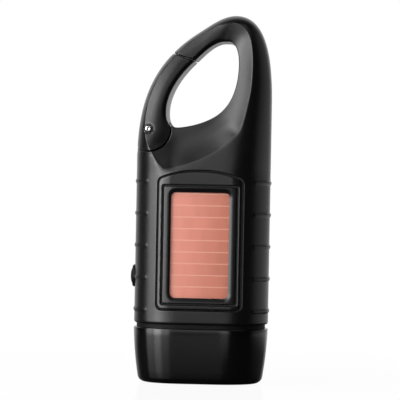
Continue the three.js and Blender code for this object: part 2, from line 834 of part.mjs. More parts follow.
// Panel outline with an arched top edge, grown or shrunk all round
function panelShape(grow) {
  const half = panelHalf + grow;
  const low = panelBottom - grow;
  const shoulder = panelTop - panelArch + grow;
  const crown = panelTop + grow;
  const shape = new THREE.Shape();
  shape.moveTo(-half + panelCorner, low);
  shape.absarc(half - panelCorner, low + panelCorner, panelCorner, -Math.PI / 2, 0);
  shape.lineTo(half, shoulder - panelCorner);
  shape.quadraticCurveTo(half, shoulder, half - panelCorner, shoulder + panelCorner * panelArch / half);
  shape.quadraticCurveTo(half / 2, crown, 0, crown);
  shape.quadraticCurveTo(-half / 2, crown, -half + panelCorner, shoulder + panelCorner * panelArch / half);
  shape.quadraticCurveTo(-half, shoulder, -half, shoulder - panelCorner);
  shape.lineTo(-half, low + panelCorner);
  shape.absarc(-half + panelCorner, low + panelCorner, panelCorner, Math.PI, 3 * Math.PI / 2);
  return shape;
}

// A slab whose front edges are bevelled, its front at yFront
function bevelledSlab(shape, yFront, yBack, bevel) {
  const geometry = new THREE.ExtrudeGeometry(shape, {
    depth: yBack - yFront, bevelEnabled: true, bevelSize: bevel, bevelThickness: bevel,
    bevelOffset: -bevel, bevelSegments: 1, curveSegments: cornerSteps,
  });
  geometry.rotateX(Math.PI / 2);
  geometry.translate(0, yBack + bevel, 0);
  const half = halfWidth + overrun;
  return solid(geometry).intersect(block([-half, half], [yFront - overrun, yBack], [-overrun, height]));
}

// Shells

const panelCut = slab(panelShape(fit), -cutDepth, -pocketFloor, cornerSteps);

// A cylinder along X
function rod(y, z, radius, xFrom, xTo, steps = roundSteps) {
  const geometry = new THREE.CylinderGeometry(radius, radius, xTo - xFrom, steps);
  geometry.rotateZ(Math.PI / 2);
  geometry.translate((xFrom + xTo) / 2, y, z);
  return solid(geometry);
}

const buttonCut = rod(0, buttonZ, buttonBore, -halfWidth - overrun, buttonX + 2 * wall)
  .add(rod(0, buttonZ, flangeRadius + fit, buttonX + wall, flangeBack + buttonTravel));

function frontShell() {
  const pillar = block([switchFace, switchBack], [-cavityFront - fit, -switchHalf],
    [buttonZ - switchHalf, buttonZ + switchHalf]);
  let shell = shellHalf(-1).subtract(panelCut).subtract(buttonCut).add(pillar);
  for (const x of [-standoffX, standoffX]) {
    shell = shell.add(disc(x, standoffZ, standoffRadius,
      -cavityFront - fit, -cavityFront + boardLift, smallSteps));
  }
  for (const [x, z] of caseScrewPlaces) {
    shell = shell.subtract(disc(x, z, caseScrewRadius + fit, caseScrewTip - fit, overrun, smallSteps));
  }
  return shell;
}

function backShell() {
  const recess = disc(0, hubZ, armSweep + armClearance, recessFloor, cutDepth, 2 * roundSteps)
    .add(block([-halfWidth - overrun, halfWidth + overrun], [recessFloor, cutDepth], [-overrun, hubZ]));
  let shell = shellHalf(1).subtract(recess).subtract(buttonCut)
    .subtract(disc(0, hubZ, shaftRadius + fit + bushWall + fit, 0, cutDepth))
    .subtract(disc(0, hubZ, shaftRadius + fit + bushWall + bushFlange + fit,
      recessFloor - bushFlangeThickness, cutDepth));
  for (const [x, z] of postPlaces) {
    shell = shell.add(disc(x, z, postRadius, plateTop, cavityBack + fit, smallSteps))
      .subtract(disc(x, z, plateScrewRadius + fit, plateTop - fit, plateTop + plateScrewLength, smallSteps));
  }
  for (const [x, z] of caseScrewPlaces) {
    shell = shell.subtract(disc(x, z, caseScrewRadius + fit, -overrun, cutDepth, smallSteps))
      .subtract(disc(x, z, caseScrewHead + fit, caseScrewSeat, cutDepth, smallSteps));
  }
  return shell;
}

piece('front_shell', frontShell(), 'blackShell');
piece('back_shell', backShell(), 'blackShell');

caseScrewPlaces.forEach(([x, z], i) => {
  const tip = caseScrewTip;
  const top = caseScrewSeat + caseScrewHeadThickness;
  piece(`case_screw_${i + 1}`, turned(x, z, [
    [0, tip], [caseScrewRadius, tip], [caseScrewRadius, caseScrewSeat], [caseScrewHead, caseScrewSeat],
    [caseScrewHead, caseScrewSeat + caseScrewHeadThickness / 2], [caseScrewHead / 2, top], [0, top],
  ], smallSteps), 'steel');
});

// Gate, its pin and its spring

function gate() {
  const slotTop = pivotZ + gateEnd * Math.sin(gateLimit / 2) + gateGap;
  const slotHalfDepth = lugHalf + gateGap;
  const slot = disc(pivotX, pivotZ, lugRadius + lugGap, -slotHalfDepth, slotHalfDepth)
    .add(block([pivotX - gateEnd - overrun, pivotX + gateEnd + fit], [-slotHalfDepth, slotHalfDepth],
      [pivotZ - gateEnd - overrun, slotTop]));
  const headSeat = surfaceDepth(pivotX, pivotZ) - gatePinHeadThickness - gatePinSunk;
  return halfBody(-1).add(halfBody(1))
    .intersect(slab(gateShape(0), -cutDepth, cutDepth))
    .subtract(slot)
    .subtract(disc(pivotX, pivotZ, gatePinRadius + fit, -cutDepth, cutDepth))
    .subtract(disc(pivotX, pivotZ, gatePinHead + fit, -cutDepth, -headSeat));
}

function gatePin() {
  const seat = surfaceDepth(pivotX, pivotZ) - gatePinHeadThickness - gatePinSunk;
  return turned(pivotX, pivotZ, [
    [0, -seat - gatePinHeadThickness], [gatePinHead * domeShare, -seat - gatePinHeadThickness],
    [gatePinHead, -seat - gatePinHeadThickness / 2], [gatePinHead, -seat], [gatePinRadius, -seat],
    [gatePinRadius, seat], [0, seat],
  ], smallSteps);
}

// A helix as one unbroken tube with flat ends
function gateSpring() {
  const sides = 5;
  const perTurn = 8;
  const steps = springTurns * perTurn;
  const rings = [];
  for (let i = 0; i <= steps; i++) {
    const turn = 2 * Math.PI * i / perTurn;
    const y = -springHalf + springWire + (2 * springHalf - 2 * springWire) * i / steps;
    const ring = [];
    for (let j = 0; j < sides; j++) {
      const around = 2 * Math.PI * j / sides;
      const radius = springCoil + springWire * Math.cos(around);
      ring.push([pivotX + radius * Math.cos(turn), y + springWire * Math.sin(around),
        pivotZ + radius * Math.sin(turn)]);
    }
    rings.push(ring);
  }
  return loft(rings);
}

piece('gate', gate(), 'blackShell');
piece('gate_pin', gatePin(), 'chrome');
piece('gate_spring', gateSpring(), 'steel');

// Lamp head

function headSection(inset, z) {
  const share = clamp((headTop - z) / headTop);
  return section(inset, z, halfWidth - headTaper * share, halfDepth - headDepthTaper * share);
}

function headShell() {
  const outside = loft([
    ...rimShares.map(([inset, rise]) => headSection(rimFillet * inset, rimFillet * rise)),
    headSection(0, headTop - topBevel), headSection(topBevel, headTop),
  ]);
  const pocket = loft([headSection(headRim, -overrun), headSection(headRim, headPocket)]);
  const collarTop = headTop + sealThickness + collarHeight;
  const boundsY = [-cavityFront + collarGap, cavityBack - collarGap];
  const collar = sectionPrism(wall + collarGap, headTop - fit, collarTop)
    .intersect(block([-halfWidth, halfWidth], boundsY, [0, collarTop]))
    .subtract(sectionPrism(wall + collarGap + collarWall, 0, collarTop + overrun)
      .intersect(block([-halfWidth, halfWidth], [boundsY[0] + collarWall, boundsY[1] - collarWall],
        [0, collarTop + overrun])));
  const cable = new THREE.CylinderGeometry(cableHole, cableHole, 2 * headTop, roundSteps);
  cable.rotateX(Math.PI / 2);
  cable.translate(0, 0, headTop);
  return outside.subtract(pocket).add(collar).subtract(solid(cable));
}

function headSeal() {
  const top = headTop + sealThickness;
  const inner = block([-halfWidth, halfWidth], [-cavityFront, cavityBack], [0, top + overrun])
    .intersect(sectionPrism(wall, 0, top + overrun));
  return sectionPrism(sealInset, headTop, top)
    .intersect(block([-halfWidth, halfWidth], [-halfDepth, recessFloor - sealInset / 2], [0, height]))
    .subtract(inner);
}

const ledPlaces = cupPlaceShares.map(([x, y]) => [x * pocketHalfX, y * pocketHalfY]);
const ledBoardBottom = headPocket - ledBoardThickness;
const reflectorBottom = lensRecess + lensThickness;
const reflectorTop = ledBoardBottom - ledFlangeThickness - fit;

// A turned piece along Z
function turnedUp(x, y, profile, steps = roundSteps) {
  const geometry = new THREE.LatheGeometry(profile.map(([r, z]) => new THREE.Vector2(r, z)), steps);
  geometry.rotateX(Math.PI / 2);
  const body = solid(geometry);
  const upright = body.volume() < 0 ? solid(flipped(geometry)) : body;
  return upright.translate([x, y, 0]);
}

// A plate that fills the head's pocket between two heights
function headPlate(zFrom, zTo) {
  return loft([headSection(headRim + fit, zFrom), headSection(headRim + fit, zTo)]);
}

function reflector() {
  const neck = ledRadius + ledFlange + fit;
  const cupDepth = (reflectorTop - reflectorBottom) * cupDepthShare;
  let tray = headPlate(reflectorBottom, reflectorTop);
  for (const [x, y] of ledPlaces) {
    const cup = [];
    for (let i = 0; i <= cornerSteps; i++) {
      const share = i / cornerSteps;
      const radius = neck + (cupMouthShare * pocketHalfY - neck) * Math.sqrt(1 - share);
      cup.push([radius, reflectorBottom + cupDepth * share]);
    }
    tray = tray.subtract(turnedUp(x, y, [
      [0, reflectorBottom - overrun], [cup[0][0], reflectorBottom - overrun], ...cup,
      [neck, reflectorTop + overrun], [0, reflectorTop + overrun],
    ]));
  }
  return tray;
}

function led(x, y) {
  const base = ledBoardBottom;
  const tip = base - ledLength;
  const dome = [];
  for (let i = 0; i <= arcSteps; i++) {
    const turn = i / arcSteps * Math.PI / 2;
    dome.push([ledRadius * Math.sin(turn), tip + ledRadius * (1 - Math.cos(turn))]);
  }
  return turnedUp(x, y, [
    ...dome, [ledRadius, base - ledFlangeThickness], [ledRadius + ledFlange, base - ledFlangeThickness],
    [ledRadius + ledFlange, base], [0, base],
  ], smallSteps);
}

piece('head_shell', headShell(), 'glossBlack');
piece('head_seal', headSeal(), 'sealBlack');
piece('lens', headPlate(lensRecess, lensRecess + lensThickness), 'clear');
piece('reflector', reflector(), 'chrome');
piece('led_board', headPlate(ledBoardBottom, headPocket), 'board');
ledPlaces.forEach(([x, y], i) => piece(`led_${i + 1}`, led(x, y), 'led'));

// Solar panel, from the bezel in

const bezelFront = -halfDepth;
const frameFront = bezelFront + panelEdge / 2;

function solarBezel() {
  const shape = panelShape(0);
  shape.holes.push(roundedRect(-frameHalf - frameGroove, frameHalf + frameGroove,
    frameBottom - frameGroove, frameTop + frameGroove, frameCorner));
  return bevelledSlab(shape, bezelFront, -pocketFloor, panelEdge);
}

function solarFrame() {
  const windowShape = (grow) => roundedRect(-windowHalf - grow, windowHalf + grow,
    windowBottom - grow, windowTop + grow, windowCorner + grow);
  const ring = (grow, y) => windowShape(grow).getPoints(cornerSteps).slice(0, -1).map((p) => [p.x, y, p.y]);
  const mouth = loft([ring(windowBevel, frameFront - fit), ring(0, frameFront + windowRecess)]);
  const seat = slab(windowShape(windowBevel), frameFront + windowRecess, -pocketFloor, cornerSteps);
  return bevelledSlab(roundedRect(-frameHalf, frameHalf, frameBottom, frameTop, frameCorner),
    frameFront, -pocketFloor, panelEdge / 2)
    .subtract(mouth).subtract(seat);
}

const cellShape = (inset) => roundedRect(-windowHalf - windowBevel + inset, windowHalf + windowBevel - inset,
  windowBottom - windowBevel + inset, windowTop + windowBevel - inset, windowCorner);
const windowFront = frameFront + windowRecess;
const cellFront = windowFront + windowThickness;

piece('solar_bezel', solarBezel(), 'bezelBlack');
piece('solar_frame', solarFrame(), 'bezelBlack');
piece('solar_window', slab(cellShape(fit), windowFront, cellFront, cornerSteps), 'clear');
piece('solar_cell', slab(cellShape(fit), cellFront, cellFront + cellThickness, cornerSteps), 'copperCell');

// Side switch

function switchButton() {
  const dome = [];
  for (let i = 0; i <= arcSteps; i++) {
    const turn = i / arcSteps * Math.PI / 2;
    dome.push([buttonRadius * Math.sin(turn), -buttonProud * Math.cos(turn)]);
  }
  const geometry = new THREE.LatheGeometry([
    ...dome, [buttonRadius, flangeBack - buttonFlangeThickness - buttonX],
    [flangeRadius, flangeBack - buttonFlangeThickness - buttonX], [flangeRadius, flangeBack - buttonX],
    [buttonStem, flangeBack - buttonX], [buttonStem, stemEnd - buttonX], [0, stemEnd - buttonX],
  ].map(([r, y]) => new THREE.Vector2(r, y)), roundSteps);
  geometry.rotateZ(-Math.PI / 2);
  geometry.translate(buttonX, 0, buttonZ);
  const body = solid(geometry);
  return body.volume() < 0 ? solid(flipped(geometry)) : body;
}

piece('switch_button', switchButton(), 'sealBlack');
piece('switch_body', block([switchFace, switchBack], [-switchHalf, switchHalf],
  [buttonZ - switchHalf, buttonZ + switchHalf]), 'bezelBlack');

// Crank arm, shaft, bush and screw

const armBottom = recessFloor + armGap;
const armTop = halfDepth;
const armMiddle = (armBottom + armTop) / 2;
const knobZ = hubZ + knobThrow;
const knobPinHalf = slotHalf + knobPinRun;
const screwSeat = armTop - crankScrewSunk - crankScrewHeadThickness;
const shaftTop = screwSeat;

function crankArm() {
  const shape = new THREE.Shape();
  const shoulder = hubZ + Math.sqrt(armSweep ** 2 - armTipHalf ** 2);
  const turn = Math.acos((armTipHalf - armCorner) / armSweep);
  shape.moveTo(-armHubHalf, hubZ);
  shape.absarc(0, hubZ, armHubHalf, Math.PI, 2 * Math.PI);
  shape.lineTo(armTipHalf, shoulder - armCorner);
  shape.quadraticCurveTo(armTipHalf, shoulder, armSweep * Math.cos(turn), hubZ + armSweep * Math.sin(turn));
  shape.absarc(0, hubZ, armSweep, turn, Math.PI - turn);
  shape.quadraticCurveTo(-armTipHalf, shoulder, -armTipHalf, shoulder - armCorner);
  shape.closePath();
  const slot = roundedRect(-slotHalf, slotHalf, hubZ + slotBottom, knobZ + knobRadius + fit, fit);
  return slab(shape, armBottom, armTop, roundSteps / 2)
    .subtract(slab(slot, 0, cutDepth, arcSteps))
    .subtract(disc(0, hubZ, shaftRadius + fit, 0, cutDepth))
    .subtract(disc(0, hubZ, crankScrewHead + fit, screwSeat, cutDepth))
    .subtract(rod(armMiddle, knobZ, knobPinRadius + fit, -knobPinHalf, knobPinHalf, smallSteps));
}

piece('crank_arm', crankArm(), 'blackShell');
piece('crank_shaft', turned(0, hubZ, [
  [0, crankLayer - armGap], [crankBoss, crankLayer - armGap], [crankBoss, crankLayer],
  [shaftRadius, crankLayer], [shaftRadius, shaftTop], [0, shaftTop],
]), 'steel');
piece('crank_bush', turned(0, hubZ, [
  [shaftRadius + fit, cavityBack], [shaftRadius + fit + bushWall, cavityBack],
  [shaftRadius + fit + bushWall, recessFloor - bushFlangeThickness],
  [shaftRadius + fit + bushWall + bushFlange, recessFloor - bushFlangeThickness],
  [shaftRadius + fit + bushWall + bushFlange, recessFloor],
  [shaftRadius + fit, recessFloor], [shaftRadius + fit, cavityBack],
]), 'brass');
piece('crank_screw', turned(0, hubZ, [
  [0, screwSeat], [crankScrewHead, screwSeat], [crankScrewHead, screwSeat + crankScrewHeadThickness / 2],
  [crankScrewHead * domeShare, screwSeat + crankScrewHeadThickness], [0, screwSeat + crankScrewHeadThickness],
]).subtract(block([-crankScrewHead, crankScrewHead], [screwSeat + crankScrewHeadThickness / 2, cutDepth],
  [hubZ - fit, hubZ + fit])), 'steel');
piece('crank_gear', slab(gearShape(hub, crankTeeth, crankPhase), crankLayer, crankLayer + gearThickness)
  .subtract(disc(0, hubZ, shaftRadius + fit, 0, cutDepth)), 'whitePlastic');

// Folding knob: stem on a cross pin, with a sleeve that spins on its spindle

const stemBottom = knobZ - knobRadius - fit;
const sleeveTop = stemBottom - fit;
const spindleEnd = hubZ + slotBottom + knobEndGap;
const sleeveBottom = spindleEnd + spindleHeadThickness + fit;

function knobStem() {
  const half = slotHalf - fit;
  return rod(armMiddle, knobZ, knobRadius, -half, half)
    .add(turnedUp(0, armMiddle, [
      [0, spindleEnd], [spindleHead, spindleEnd], [spindleHead, spindleEnd + spindleHeadThickness],
      [spindleRadius, spindleEnd + spindleHeadThickness], [spindleRadius, stemBottom],
      [knobRadius - fit, stemBottom], [knobRadius - fit, knobZ], [0, knobZ],
    ], smallSteps))
    .subtract(rod(armMiddle, knobZ, knobPinRadius + fit, -slotHalf, slotHalf, smallSteps));
}

piece('knob_pin', rod(armMiddle, knobZ, knobPinRadius, -knobPinHalf, knobPinHalf, smallSteps), 'steel');
piece('knob_stem', knobStem(), 'steel');
piece('knob_sleeve', turnedUp(0, armMiddle, [
  [spindleRadius + fit, sleeveBottom], [knobRadius - fit, sleeveBottom], [knobRadius, sleeveBottom + 2 * fit],
  [knobRadius, sleeveTop - 2 * fit], [knobRadius - fit, sleeveTop], [spindleRadius + fit, sleeveTop],
  [spindleRadius + fit, sleeveBottom],
]), 'glossBlack');

// Gear train and its axles

piece('compound_gear_1', compoundGear(firstCentre, firstTeeth, firstPhase, firstLayer), 'whitePlastic');
piece('compound_gear_2', compoundGear(secondCentre, secondTeeth, secondPhase, secondLayer), 'whitePlastic');
[[firstCentre, firstLayer], [secondCentre, secondLayer]].forEach(([centre, layer], i) => {
  const top = layer + gearStep + gearThickness + fit;
  piece(`gear_axle_${i + 1}`, turned(centre.x, centre.z, [
    [0, plateTop], [axleShoulder, plateTop], [axleShoulder, layer - fit], [axleRadius, layer - fit],
    [axleRadius, top], [0, top],
  ], smallSteps), 'steel');
});

// Gear plate, on posts of the back shell

function gearPlate() {
  let plate = slab(roundedRect(-plateHalf, plateHalf, plateLow, plateHigh, plateCorner),
    plateBottom, plateTop, cornerSteps);
  for (const [x, z] of postPlaces) {
    const inner = Math.sign(x) * (plateHalf - plateCorner);
    const arm = [Math.min(inner, x), Math.max(inner, x)];
    plate = plate.add(disc(x, z, postRadius + fit, plateBottom, plateTop, roundSteps))
      .add(block(arm, [plateBottom, plateTop], [z - postRadius, z + postRadius]));
  }
  for (const [x, z] of postPlaces) {
    plate = plate.subtract(disc(x, z, plateScrewRadius + fit, -cutDepth, cutDepth, smallSteps));
  }
  return plate.subtract(disc(rotorCentre.x, rotorCentre.z, rotorShaftRadius + fit,
    -cutDepth, cutDepth, smallSteps));
}

piece('gear_plate', gearPlate(), 'steel');
postPlaces.forEach(([x, z], i) => {
  const head = plateBottom - plateScrewHeadThickness;
  piece(`gear_plate_screw_${i + 1}`, turned(x, z, [
    [0, head], [plateScrewHead, head], [plateScrewHead, plateBottom], [plateScrewRadius, plateBottom],
    [plateScrewRadius, plateTop + plateScrewLength - 2 * fit], [0, plateTop + plateScrewLength - 2 * fit],
  ], smallSteps), 'steel');
});

// Generator: a can with a coil, round a magnet on the rotor shaft

const batteryTop = -cavityFront + batteryThickness;
const canBack = plateBottom;
const canFront = batteryTop + clipThickness + canClearance;
const canDepth = canBack - canFront;
const canFloor = canBack - canWall;
const canInside = canRadius - canWall;
const canBore = rotorShaftRadius + fit;
const magnetBack = canFloor - fit;
const magnetFront = magnetBack - magnetLengthShare * canDepth;
const coilFront = canFloor - coilLengthShare * canDepth;

piece('generator_can', turned(rotorCentre.x, rotorCentre.z, [
  [canBore, canBack], [canRadius, canBack], [canRadius, canFront], [canInside, canFront],
  [canInside, canFloor], [canBore, canFloor], [canBore, canBack],
]), 'steel');
piece('generator_coil', turned(rotorCentre.x, rotorCentre.z, [
  [coilInner, canFloor], [canInside - fit, canFloor], [canInside - fit, coilFront],
  [coilInner, coilFront], [coilInner, canFloor],
]), 'copperWire');
piece('rotor_magnet', turned(rotorCentre.x, rotorCentre.z, [
  [0, magnetFront], [magnetRadius, magnetFront], [magnetRadius, magnetBack], [0, magnetBack],
]), 'magnet');
const pinionTop = secondLayer + gearThickness;
piece('rotor_shaft', slab(gearShape(rotorCentre, pinionTeeth, rotorPhase), secondLayer, pinionTop)
  .add(disc(rotorCentre.x, rotorCentre.z, rotorShaftRadius, magnetBack, pinionTop, smallSteps)), 'steel');

// Battery with its clip, main board and capacitor

piece('battery', disc(0, batteryZ, cellRadius, -cavityFront, batteryTop), 'steel');

function batteryClip() {
  const top = batteryTop;
  const low = batteryZ - cellRadius - fit;
  const high = batteryZ + cellRadius + fit;
  const ends = [low - clipThickness, high + clipThickness];
  return block([-clipHalf, clipHalf], [top, top + clipThickness], ends)
    .add(block([-clipHalf, clipHalf], [-cavityFront, top + clipThickness], [ends[0], low]))
    .add(block([-clipHalf, clipHalf], [-cavityFront, top + clipThickness], [high, ends[1]]));
}

function mainBoard() {
  const y = [-cavityFront + boardLift, -cavityFront + boardLift + boardThickness];
  let board = slab(roundedRect(-boardHalf, boardHalf, boardLow, boardHigh, boardCorner), ...y, cornerSteps);
  for (const [x, z] of caseScrewPlaces.slice(2)) {
    board = board.subtract(disc(x, z, caseBoss + fit, -cutDepth, cutDepth, smallSteps));
  }
  return board;
}

piece('battery_clip', batteryClip(), 'steel');
piece('main_board', mainBoard(), 'board');
const boardFace = -cavityFront + boardLift + boardThickness;
piece('capacitor', disc(0, boardHigh - capacitorDrop, capacitorRadius,
  boardFace, boardFace + capacitorLength, smallSteps), 'bezelBlack');

export default torch;
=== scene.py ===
"""Hand crank torch with a carabiner loop: its looks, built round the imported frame.

Shapes are worked out in millimetres and turned into metres when a mesh is made. Flat places are pairs
of X and Z, and depth is the distance from the plane between the two shells, to either side of it.
"""

import json
import math

import bmesh
import bpy
import numpy as np
from mathutils import Matrix, Vector
from mathutils.geometry import delaunay_2d_cdt

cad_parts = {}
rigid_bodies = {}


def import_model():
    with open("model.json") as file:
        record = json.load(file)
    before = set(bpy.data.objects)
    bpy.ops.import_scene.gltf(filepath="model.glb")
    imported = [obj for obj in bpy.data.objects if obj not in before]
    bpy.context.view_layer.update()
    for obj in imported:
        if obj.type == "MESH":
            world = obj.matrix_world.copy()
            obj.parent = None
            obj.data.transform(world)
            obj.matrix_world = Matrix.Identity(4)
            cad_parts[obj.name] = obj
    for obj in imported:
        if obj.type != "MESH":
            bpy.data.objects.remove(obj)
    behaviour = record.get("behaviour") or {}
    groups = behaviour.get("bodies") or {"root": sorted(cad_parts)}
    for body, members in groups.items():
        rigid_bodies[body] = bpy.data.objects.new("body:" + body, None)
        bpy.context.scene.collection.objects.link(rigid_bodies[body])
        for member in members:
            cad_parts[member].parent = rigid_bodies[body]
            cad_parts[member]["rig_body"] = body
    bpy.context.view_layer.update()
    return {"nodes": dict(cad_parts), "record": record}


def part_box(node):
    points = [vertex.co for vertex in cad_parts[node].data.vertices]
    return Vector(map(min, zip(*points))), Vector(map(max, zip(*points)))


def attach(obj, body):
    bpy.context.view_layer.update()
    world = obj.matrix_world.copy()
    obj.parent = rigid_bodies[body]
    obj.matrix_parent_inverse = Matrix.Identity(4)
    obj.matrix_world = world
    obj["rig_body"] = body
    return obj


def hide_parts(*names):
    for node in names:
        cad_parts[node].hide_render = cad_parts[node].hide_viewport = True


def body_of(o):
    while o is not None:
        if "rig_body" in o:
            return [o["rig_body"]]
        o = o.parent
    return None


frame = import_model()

MM = 0.001
FRONT = -1
BACK = 1
FLAT = [0, 2]


def corner(cad, end):
    """One corner of a CAD node's box, in millimetres."""
    return np.array(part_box(cad)[end]) / MM


def ends(cad, axis):
    """Where a CAD node's box starts and ends: along X with axis 0, Y with 1 and Z with 2."""
    return corner(cad, 0)[axis], corner(cad, 1)[axis]


def middle(cad):
    """The middle of a CAD node's box."""
    return (corner(cad, 0) + corner(cad, 1)) / 2


# Sizes of the whole torch
RIB_PROUD = 0.35
BODY_BOTTOM, HEIGHT = ends("front_shell", 2)
HALF_WIDTH = corner("front_shell", 1)[0] - RIB_PROUD
HALF_DEPTH = corner("crank_arm", 1)[1]
LOOP_HALF_DEPTH = 9.6
FLANK_ROLL = 15
LOOP_ROLL = 6.6
ROLL_POWER = 2.3
TAPER_START = 0.573 * HEIGHT
WALL = 2
FIT = 0.3

# The outline's curves and the opening's curves, as shares of half width and height
LEFT_SHARE = 0.995
SIDE_TOP_SHARE = 0.747
OUTLINE_SHARES = [
    (1, 0.777, 0.998, 0.812, 0.981, 0.842),
    (0.929, 0.955, 0.735, 1, 0.455, 1),
    (0.246, 1, 0.057, 0.971, -0.123, 0.95),
    (-0.829, 0.864, -1.009, 0.747, -LEFT_SHARE, 0.59),
]
HOLE_SHARES = [
    (-0.55, 0.777, -0.408, 0.826, -0.161, 0.869),
    (-0.043, 0.89, 0.13, 0.926, 0.294, 0.926),
    (0.31, 0.926, 0.34, 0.926, 0.36, 0.926),
    (0.455, 0.926, 0.512, 0.901, 0.512, 0.864),
    (0.512, 0.816, 0.45, 0.764, 0.256, 0.733),
    (0.104, 0.708, -0.166, 0.694, -0.365, 0.691),
    (-0.483, 0.691, -0.55, 0.703, -0.55, 0.7335),
]
DISH_SHARES = [
    (0.441, 0.974), (0.635, 0.949), (0.701, 0.904), (0.706, 0.817), (0.654, 0.753), (0.559, 0.689),
    (0.427, 0.661), (0.242, 0.632), (-0.014, 0.606), (-0.27, 0.589), (-0.474, 0.581), (-0.611, 0.595),
    (-0.72, 0.626), (-0.829, 0.66), (-0.867, 0.7), (-0.82, 0.756), (-0.673, 0.824), (-0.441, 0.884),
    (-0.284, 0.913), (0.038, 0.956), (0.237, 0.97),
]
SPLIT_SHARES = [(-0.493, 0.894), (-0.152, 0.873)]
SIZE = np.array([HALF_WIDTH, HEIGHT])
HOLE_CENTRE = np.array((0, 0.8)) * SIZE

# The dish and the soft edges
DISH_DEPTH_SHARE = 0.66
DISH_SAG_SHARE = 0.08
DISH_LIP = 0.8
DISH_NARROW = 4.5
DISH_WIDE_SAG = 0.25
DISH_ANGLES = 720
DISH_SMOOTHING = math.radians(12)
DISH_SMOOTHING_REACH = 60
GATE_CROWN = 0.8
CROWN_LEAN = (1.3, 0, 0.2)
LIP_LEAN = (1, 0.5, 0)
LIP_EDGE = 0.3
LIP_BEVEL = 1.3
CREASE_STEP = 0.2
CREASE_SLOPE = 0.45
CREASE_BLEND = 0.15
EVEN_START = 0.6
EVEN_RUN = 1.2
EVEN_STEP = 0.25
GAP_EDGE = 0.25
BOTTOM_EDGE = 0.7
PARTING = 0.12

# The gate
PIVOT = middle("gate_pin")[FLAT]
PIN_LOW, PIN_HIGH = ends("gate_pin", 1)
PIN_RADIUS = 1
PIN_HEAD = 1.3
PIN_HOLE = PIN_RADIUS + FIT
GATE_END = HOLE_SHARES[0][0] * HALF_WIDTH - PIVOT[0] + 1.55
GATE_GAP = 0.35
GATE_LIMIT = math.radians(30)
GATE_SWING = GATE_END * math.sin(GATE_LIMIT / 2)
LUG_HALF = 3
LUG_RADIUS = GATE_END - 1.35
LUG_GAP = 0.5
LUG_EDGE = 0.2
LUG_ROW_RADIUS = 3.5
LUG_LEAST = 0.01
SLOT_SKIN = 0.05
SLOT_GROW = 0.01
CHEEK = 0.2

# The panel
BEZEL_LOW, BEZEL_HIGH = corner("solar_bezel", 0), corner("solar_bezel", 1)
FRAME_LOW, FRAME_HIGH = corner("solar_frame", 0), corner("solar_frame", 1)
PANEL_ARCH = 2.3
PANEL_CORNER = 1.8
PANEL_TRIM = 0.6
POCKET_DEPTH = -BEZEL_HIGH[1]

# The ribs
RIB_COUNT = 5
RIB_LOW = BEZEL_LOW[2] + 0.3
RIB_HIGH = BEZEL_HIGH[2] - 3.2
RIB_LEVELS = RIB_LOW + (RIB_HIGH - RIB_LOW) / (RIB_COUNT - 1) * np.arange(RIB_COUNT)
RIB_HALF = 0.85
RIB_REACH = 4.1
RIB_FADE_START = 0.3
RIB_FADE_RUN = 1.8
RIB_INNER_SHARE = 0.38
RIB_ROUNDNESS = 1.3
RIB_CLEAR = 1.5 * RIB_HALF
RIB_FINE = (0.2, 1.2)
RIB_ROW_SHARES = np.array([0.35, 0.6, 0.8, 0.92, 0.98, 1.04, 1.3])

# The back, the cavity, the button's bore and the case screws
HUB_Z = middle("crank_shaft")[2]
HUB = np.array([0, HUB_Z])
ARM_LOW, ARM_HIGH = corner("crank_arm", 0), corner("crank_arm", 1)
ARM_SWEEP = ARM_HIGH[2] - HUB_Z
RECESS_RADIUS = ARM_SWEEP + 1
RECESS_DEPTH = ARM_LOW[1] - 0.4
RECESS_TURN = 0.15
CAVITY_FRONT = POCKET_DEPTH - 1.4
CAVITY_BACK = RECESS_DEPTH - 1.8
CAVITY_TOP = TAPER_START + 2.5
BUTTON_Z = middle("switch_button")[2]
BUTTON_RADIUS = 3.55
BUTTON_BORE = BUTTON_RADIUS + FIT
BORE_ROWS = 20
BORE_ROW = 0.999 * BUTTON_BORE / BORE_ROWS
BORE_MARGIN_ROWS = 4
SCREW_PLACES = [middle(f"case_screw_{number}")[FLAT] for number in (1, 2, 3, 4)]
SCREW_HEAD = 1.8
SCREW_SEAT = RECESS_DEPTH - 0.4 - 1.2
BUSH_FLANGE = 4.8
BUSH_BORE = 4.3

# How far apart the rows and places of the meshes are
FLANK_START, FLANK_END, FLANK_STEP = BODY_BOTTOM + 2, TAPER_START + 2, 0.9
SIDE_STEP = 0.7
LINE_STEP = 0.6
LOOP_STEP = 0.5
STEP_ROOM = 0.3
ROW_ROOM = 0.3
DISH_ROOM = 0.75
BOWL_RINGS = 14
BOWL_PLACES = 260
BOWL_ROOM = 0.32
SHELL_FILL = 1.0
FILL_START = 0.4
FRAME_FILL = 0.6
PIECE_FILL = 0.9
PLATE_FILL = 1.2
SCREW_FILL = 0.4
SLOT_STEP = 0.3
SLOPE_STEP = 0.02
BATCH = 2000
EDGE_SHARES = np.array([0.02, 0.08, 0.2, 0.4, 0.7, 1, 1.5])
CUT_OFFSETS = (0.02, -0.005)
FLOOR_OFFSETS = (0.02, 0.3)
ROLL_ANGLES = np.radians([2, 4, 7, 10, 14, 18, 23, 28, 34, 40, 46, 52, 58, 64, 70, 76, 82, 87, 90])
ROLL_SLIP = (0.01, 0.02)
LIP_OFFSETS = np.array([0.006, 0.03, 0.08, 0.16, 0.28, 0.44, 0.64, 0.88, 1.15, 1.45, 1.8])
CREASE_OFFSETS = np.array([0, 0.08, 0.17, 0.28, 0.42, 0.62])
# Rows on the flanks where the back's recess runs out
RUN_OUT_OFFSETS = (1.3, 1.5, 1.7, 1.85, 2, 2.15, 2.3, 2.5, 2.8)
RUN_OUT_LEVELS = np.linspace(BODY_BOTTOM + 0.2, 66, 50)

